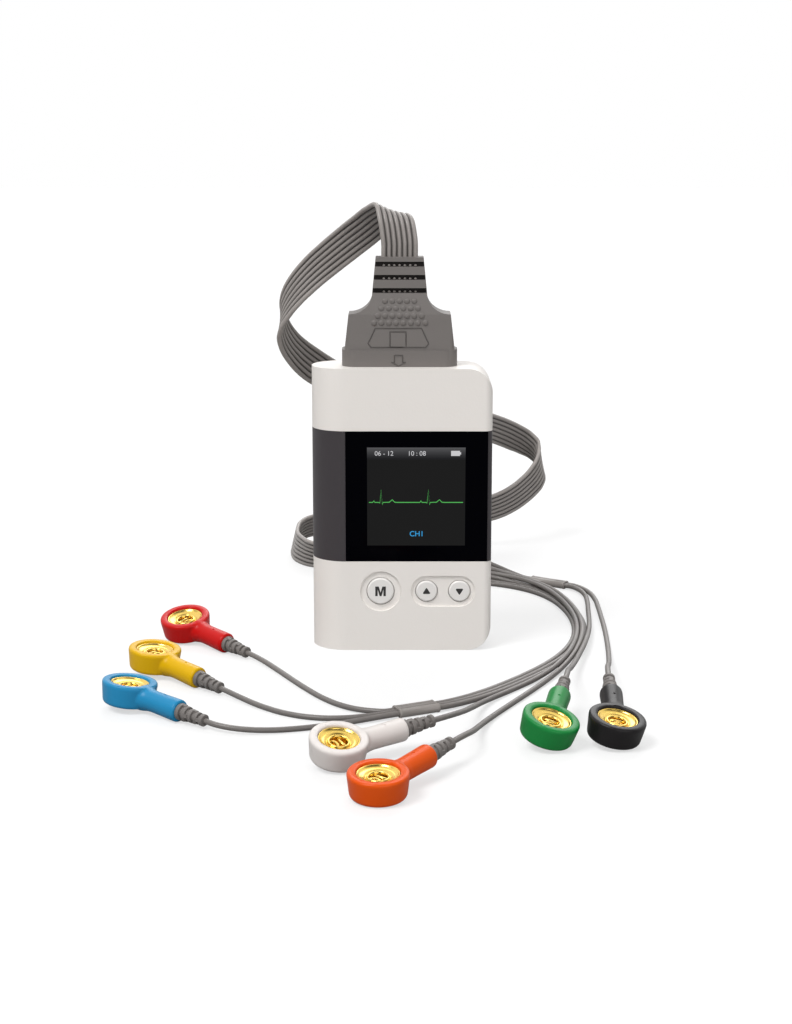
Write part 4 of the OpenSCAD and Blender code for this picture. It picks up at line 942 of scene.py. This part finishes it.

# %% [markdown]
# ## The face of the plug
# The plug's front carries an engraved cable plate: a tapered frame with a bare square in it, rows of
# round studs that thin out towards the neck, and an arrow that shows which way it goes in. Its engraved
# lines are drawn in a darker grey that paints the shade in them. The neck has three slots in which the
# ribbon's wires can be felt, and a dark plate in each paints its shadow. The studs are one sphere set on
# points.

# %% Where the front of the plug is at each height
PLUG_FACE = [(78, 5.5), (82.4, 5.5), (82.5, 5.0), (92.1, 4.6), (97.5, 3.3), (107.2, 2.7)]


def face_y(z):
    return -float(np.interp(z, [row[0] for row in PLUG_FACE], [row[1] for row in PLUG_FACE]))


def on_face(x, z):
    return (x, face_y(z), z)


# %% Engrave the frame, the square and the arrow
def engrave(name, loops, radius):
    """Thin tubes of darker grey along the loops, half sunk in the plug's face; the darker grey paints the
    shade of engraved channels.
    """
    paths = []
    for loop in loops:
        path = []
        for (xa, za), (xb, zb) in zip(loop, loop[1:] + loop[:1]):
            path += [on_face(xa + (xb - xa) * t, za + (zb - za) * t) for t in np.linspace(0, 1, 7)[:-1]]
        paths.append(path + path[:1])
    return wire(name, paths, radius, ENGRAVING_SHADE, sides=8)


# Painted shade: the engraved lines are drawn darker than the plug.
ENGRAVING_SHADE = finish("painted_engraving_shade", screen(88, 84, 81), (0.6, 0.7), depth=0.2)
SLOT_SHADOW = finish("painted_slot_shadow", screen(40, 37, 36), (0.7, 0.8), depth=0.2, specular=0.1)
frame_loop = [(-8.3, 83.3), (6.4, 83.3), (7.2, 84.3), (5.3, 88.4), (-7.2, 88.4), (-9.1, 84.3)]
square_loop = [(-3.2, 83.3), (1.1, 83.3), (1.1, 87.5), (-3.2, 87.5)]
arrow_loop = [(-2.0, 81.2), (0.2, 81.2), (0.2, 79.3), (1.0, 79.3), (-0.9, 78.3), (-2.8, 79.3), (-2.0, 79.3)]
marks = engrave("plug_marks", [frame_loop, square_loop, arrow_loop], 0.17)
belong(marks, "plug")


# %% Node tree that sets a stud on each point
def build_stud_tree():
    tree = bpy.data.node_groups.new("stud_on_point", "GeometryNodeTree")
    given, out = add_sockets(
        tree, [("Geometry", "NodeSocketGeometry", None), ("Size", "NodeSocketVector", (MM, MM, MM)),
               ("Material", "NodeSocketMaterial", None)],
        [("Geometry", "NodeSocketGeometry")])
    nodes, link = tree.nodes, tree.links.new
    ball = nodes.new("GeometryNodeMeshUVSphere")
    ball.inputs["Segments"].default_value = 24
    ball.inputs["Rings"].default_value = 12
    ball.inputs["Radius"].default_value = 1.0
    put = nodes.new("GeometryNodeInstanceOnPoints")
    smooth = nodes.new("GeometryNodeSetShadeSmooth")
    link(given.outputs["Geometry"], put.inputs["Points"])
    link(ball.outputs["Mesh"], smooth.inputs["Geometry"])
    link(smooth.outputs["Geometry"], put.inputs["Instance"])
    link(given.outputs["Size"], put.inputs["Scale"])
    coat_and_end(tree, put.outputs["Instances"], given, out)
    return tree


STUD_TREE = build_stud_tree()


def studs(name, points, size, material, body):
    mesh = bpy.data.meshes.new(name)
    mesh.from_pydata([tuple(np.array(p) * MM) for p in points], [], [])
    thing = run_tree(link_up(name, mesh), STUD_TREE, Size=tuple(s * MM for s in size), Material=material)
    belong(thing, body)


STUD_PITCH, STUD_R = 1.97, 0.8
stud_rows = [(95.5, 5), (93.6, 6), (91.7, 7), (89.8, 8)]
stud_points = [on_face(PLUG_X + (k - (count - 1) / 2) * STUD_PITCH, z)
               for z, count in stud_rows for k in range(count)]
studs("plug_studs", stud_points, (STUD_R, 0.36, STUD_R), PLUG_GREY, "plug")
GROOVE_FEET, GROOVE_H, GROOVE_Y = (97.7, 101.2, 104.7), 1.3, -2.2
SLOT_HALF, SLOT_FALL = 7.2, 0.34
slot_points = [(PLUG_X + (k - 3) * WIRE_PITCH, GROOVE_Y, z + 0.32) for z in GROOVE_FEET for k in range(7)]
studs("plug_wires", slot_points, (0.36, 0.5, 0.3), SLEEVE_GREY, "plug")
# Painted shadow: a dark plate at the back of each slot stands for the shade in it.
for n, z in enumerate(GROOVE_FEET):
    half = SLOT_HALF - SLOT_FALL * n
    shadow = box(f"slot_shade_{n}", (PLUG_X - half, GROOVE_Y - 0.06, z + 0.02),
                 (PLUG_X + half, GROOVE_Y + 0.1, z + GROOVE_H - 0.02), SLOT_SHADOW)
    belong(shadow, "plug")
print(len(stud_points), "studs,", len(slot_points), "wires in the slots")

# %% [markdown]
# ## The screen
# What glows is drawn on thin plates a hair in front of the window: a dark grey picture area, a
# status line with a soft gradient, the heart trace, and plain numbers. The plates give a little
# light of their own, so the screen stays readable in the shade.

# %% Glowing finishes and flat shapes
def glow(name, colour):
    """Dark glass that gives light of one colour."""
    material = bpy.data.materials.new(name)
    material.use_nodes = True
    shader = material.node_tree.nodes["Principled BSDF"]
    tint = use_group(material, DRIFT_GROUP, Tone=colour, Other_Tone=[*(c * 0.94 for c in colour[:3]), 1.0])
    material.node_tree.links.new(tint.outputs["Colour"], shader.inputs["Emission Color"])
    shader.inputs["Base Color"].default_value = (0, 0, 0, 1)
    shader.inputs["Emission Strength"].default_value = 1.0
    shader.inputs["Roughness"].default_value = 0.5
    shader.inputs["Specular IOR Level"].default_value = 0.0
    return material


SCREEN_DARK = glow("screen_dark", screen(31, 31, 31))
SCREEN_WHITE = glow("screen_white", screen(205, 205, 208))
SCREEN_GREEN = glow("screen_green", screen(86, 184, 92))
SCREEN_BLUE = glow("screen_blue", screen(60, 160, 220))
WINDOW_Y = -9.25


def show(thing):
    belong(thing, HOME)


def plate(name, low, high, depth, material):
    """Thin plate between two corners of the window, depth in front of it."""
    show(box(name, (low[0], WINDOW_Y - depth, low[1]),
             (high[0], WINDOW_Y - depth + 0.02, high[1]), material))


def flat_shape(name, outline, depth, material):
    """A thin plate with any outline seen from the front."""
    count = len(outline)
    points = [(x, WINDOW_Y - depth + back, z) for back in (0, 0.02) for x, z in outline]
    faces = [tuple(range(count)), tuple(range(2 * count - 1, count - 1, -1))]
    faces += [(k, k + count, (k + 1) % count + count, (k + 1) % count) for k in range(count)]
    return add_mesh(name, points, faces, material)


def lettering(name, words, middle, height, material, depth=0.02, bold=0.0):
    """Plain lettering that faces the front, round a middle point."""
    curve = bpy.data.curves.new(name, "FONT")
    curve.body = words
    curve.size = 1.0
    curve.extrude = 0.5
    curve.offset = bold
    curve.align_x = "CENTER"
    curve.align_y = "CENTER"
    source = bpy.data.objects.new(name + "_curve", curve)
    scene.collection.objects.link(source)
    bpy.context.view_layer.update()
    mesh = bpy.data.meshes.new_from_object(source.evaluated_get(bpy.context.evaluated_depsgraph_get()))
    bpy.data.objects.remove(source)
    points = np.array([v.co for v in mesh.vertices])
    size = height / (points[:, 1].max() - points[:, 1].min())
    points -= (points.max(axis=0) + points.min(axis=0)) / 2
    moved = (np.array(middle) + points[:, [0, 2, 1]] * (size, -depth, size)) * MM
    mesh.vertices.foreach_set("co", moved.astype(np.float32).ravel())
    mesh.materials.clear()
    mesh.materials.append(material)
    mesh.update()
    outward(mesh)
    return link_up(name, mesh)


# %% Draw the screen
LEFT, RIGHT, BOTTOM, TOP = -9.4, 17.2, 29.6, 56.7
plate("screen_area", (LEFT, BOTTOM), (RIGHT, TOP), 0.02, SCREEN_DARK)
STATUS_STEPS, STATUS_H = 8, 3.3
FIRST_LEVEL, LEVEL_STEP = 34, 7
for i in range(STATUS_STEPS):
    low = TOP - STATUS_H + i * STATUS_H / STATUS_STEPS
    level = FIRST_LEVEL + LEVEL_STEP * i
    plate(f"status_{i}", (LEFT, low), (RIGHT, low + STATUS_H / STATUS_STEPS), 0.03,
          glow(f"status_tone_{i}", screen(level, level, level + 2)))
TEXT_Y, STATUS_Z = WINDOW_Y - 0.04, 55.1
show(lettering("screen_date", "06 - 12", (-4.8, TEXT_Y, STATUS_Z), 1.25, SCREEN_WHITE))
show(lettering("screen_time", "10 : 08", (4.2, TEXT_Y, STATUS_Z), 1.25, SCREEN_WHITE))
show(lettering("screen_number", "CH1", (3.9, TEXT_Y, 32.9), 1.45, SCREEN_BLUE, bold=0.008))
plate("battery_case", (13.3, 54.4), (15.7, 55.8), 0.04, SCREEN_WHITE)
plate("battery_tip", (15.7, 54.8), (16.0, 55.4), 0.04, SCREEN_WHITE)

TRACE_BASE = 41.6
BEAT = [(-3.2, 0), (-2.3, 0), (-2.0, 0.45), (-1.7, 0), (-0.6, 0), (-0.35, -0.2), (0, 3.5), (0.3, -0.65),
        (0.5, 0), (2.2, 0.05), (3.0, 0.75), (3.7, 0.05), (4.3, 0)]
trace = [(-8.9, TRACE_BASE)]
for peak in (-5.6, 7.2):
    trace += [(peak + x, TRACE_BASE + z) for x, z in BEAT]
trace.append((16.6, TRACE_BASE))
show(wire("screen_trace", [[(x, WINDOW_Y - 0.05, z) for x, z in trace]], 0.13, SCREEN_GREEN, sides=6))
print("screen drawn")

# %% Legends on the keys
KEY_Z, MENU_X = 16.7, -5.8
LEGEND_DEPTH = 0.015
ARROW = [(-0.8, -0.75), (0.8, -0.75), (0.98, -0.6), (0.95, -0.4), (0.16, 0.85), (0, 0.95), (-0.16, 0.85),
         (-0.95, -0.4), (-0.98, -0.6)]
LETTER_SIDE, LETTER_TOP, STROKE = 1.45, 1.35, 0.66
letter = [(LETTER_SIDE, -LETTER_TOP), (LETTER_SIDE, LETTER_TOP), (LETTER_SIDE - 0.95, LETTER_TOP), (0, -0.35)]
letter += [(-x, z) for x, z in reversed(letter[:3])]
notch = [(LETTER_SIDE - STROKE, -LETTER_TOP), (LETTER_SIDE - STROKE, 0.55), (0.26, -LETTER_TOP)]
letter += [(-x, z) for x, z in notch] + list(reversed(notch))
letter = [(MENU_X + x, KEY_Z + z) for x, z in letter]
menu_legend = flat_shape("legend_menu", letter, LEGEND_DEPTH, LEGEND_BLACK)
belong(menu_legend, "key_menu")
for name, x, way in (("up", 6.8, 1), ("down", 15.8, -1)):
    corners = [(x + dx, KEY_Z + dz * way) for dx, dz in ARROW]
    belong(flat_shape("legend_" + name, corners, LEGEND_DEPTH, LEGEND_BLACK), "key_" + name)
print("legends set")

# %% [markdown]
# ## Table, light and background
# The background is white to the camera. To everything else it is a dim room, brighter overhead, so
# that pale plastic keeps its shading. Mirrors see a white wall behind the object and a dark room in
# front of it, which gives the gold its bright rings and keeps the window black. One soft light high
# on the left makes the main shadow, a wider one on the right fills it, and a third from behind
# lights the backs of the loops.

# %% Table
FLOOR_SIZE = 3.0
FLOOR_TONE = (0.36, 0.36, 0.36, 1.0)
table = add_mesh("table", [(-FLOOR_SIZE, -FLOOR_SIZE, 0), (FLOOR_SIZE, -FLOOR_SIZE, 0),
                           (FLOOR_SIZE, FLOOR_SIZE, 0), (-FLOOR_SIZE, FLOOR_SIZE, 0)],
                 [(0, 1, 2, 3)], scale=1.0, closed=False)
table_finish = finish("table_white", FLOOR_TONE, (0.6, 0.7), drift=0.01, specular=0.0)
table.data.materials.append(table_finish)
nodes, link = table_finish.node_tree.nodes, table_finish.node_tree.links.new
seen = nodes.new("ShaderNodeLightPath")
glowing = nodes.new("ShaderNodeMath")
glowing.operation = "MULTIPLY"
FLOOR_GLOW = 0.62
glowing.inputs[1].default_value = FLOOR_GLOW
link(seen.outputs["Is Camera Ray"], glowing.inputs[0])
nodes["Principled BSDF"].inputs["Emission Color"].default_value = (1, 1, 1, 1)
link(glowing.outputs["Value"], nodes["Principled BSDF"].inputs["Emission Strength"])

# %% World and lamps
LOW_LIGHT, HIGH_LIGHT = 0.06, 0.6
FRONT_MIRROR, BACK_MIRROR = 0.08, 1.1
world = bpy.data.worlds.new("room")
scene.world = world
world.use_nodes = True
nodes, link = world.node_tree.nodes, world.node_tree.links.new
path = nodes.new("ShaderNodeLightPath")
where = nodes.new("ShaderNodeTexCoord")
parts = nodes.new("ShaderNodeSeparateXYZ")
link(where.outputs["Generated"], parts.inputs["Vector"])


def ramp(axis, first, last, low, high):
    """Brightness that changes along one axis of the direction looked in."""
    node = nodes.new("ShaderNodeMapRange")
    node.interpolation_type = "SMOOTHSTEP"
    for socket, value in (("From Min", first), ("From Max", last), ("To Min", low), ("To Max", high)):
        node.inputs[socket].default_value = value
    link(parts.outputs[axis], node.inputs["Value"])
    return node.outputs["Result"]


def choose(pick, otherwise, chosen):
    node = nodes.new("ShaderNodeMix")
    link(pick, node.inputs["Factor"])
    link(otherwise, node.inputs["A"])
    if isinstance(chosen, float):
        node.inputs["B"].default_value = chosen
    else:
        link(chosen, node.inputs["B"])
    return node.outputs["Result"]


sky = ramp("Z", -0.1, 1.0, LOW_LIGHT, HIGH_LIGHT)
mirrored = ramp("Y", -0.35, 0.3, FRONT_MIRROR, BACK_MIRROR)
strength = choose(path.outputs["Is Glossy Ray"], sky, mirrored)
strength = choose(path.outputs["Is Transmission Ray"], strength, 1.0)
strength = choose(path.outputs["Is Camera Ray"], strength, 1.0)
link(strength, nodes["Background"].inputs["Strength"])
nodes["Background"].inputs["Color"].default_value = (1, 1, 1, 1)


def sun(name, toward, strength, softness):
    """Distant light from one direction; softness is its width in degrees."""
    data = bpy.data.lights.new(name, "SUN")
    data.energy = strength
    data.angle = math.radians(softness)
    thing = bpy.data.objects.new(name, data)
    thing.rotation_euler = (-Vector(toward)).to_track_quat("-Z", "Y").to_euler()
    scene.collection.objects.link(thing)


sun("key_light", (-0.45, -0.4, 0.8), 2.0, 25)
sun("fill_light", (0.4, -0.85, 0.35), 0.9, 50)
sun("back_light", (0.1, 0.75, 0.65), 0.9, 35)
print("lit")
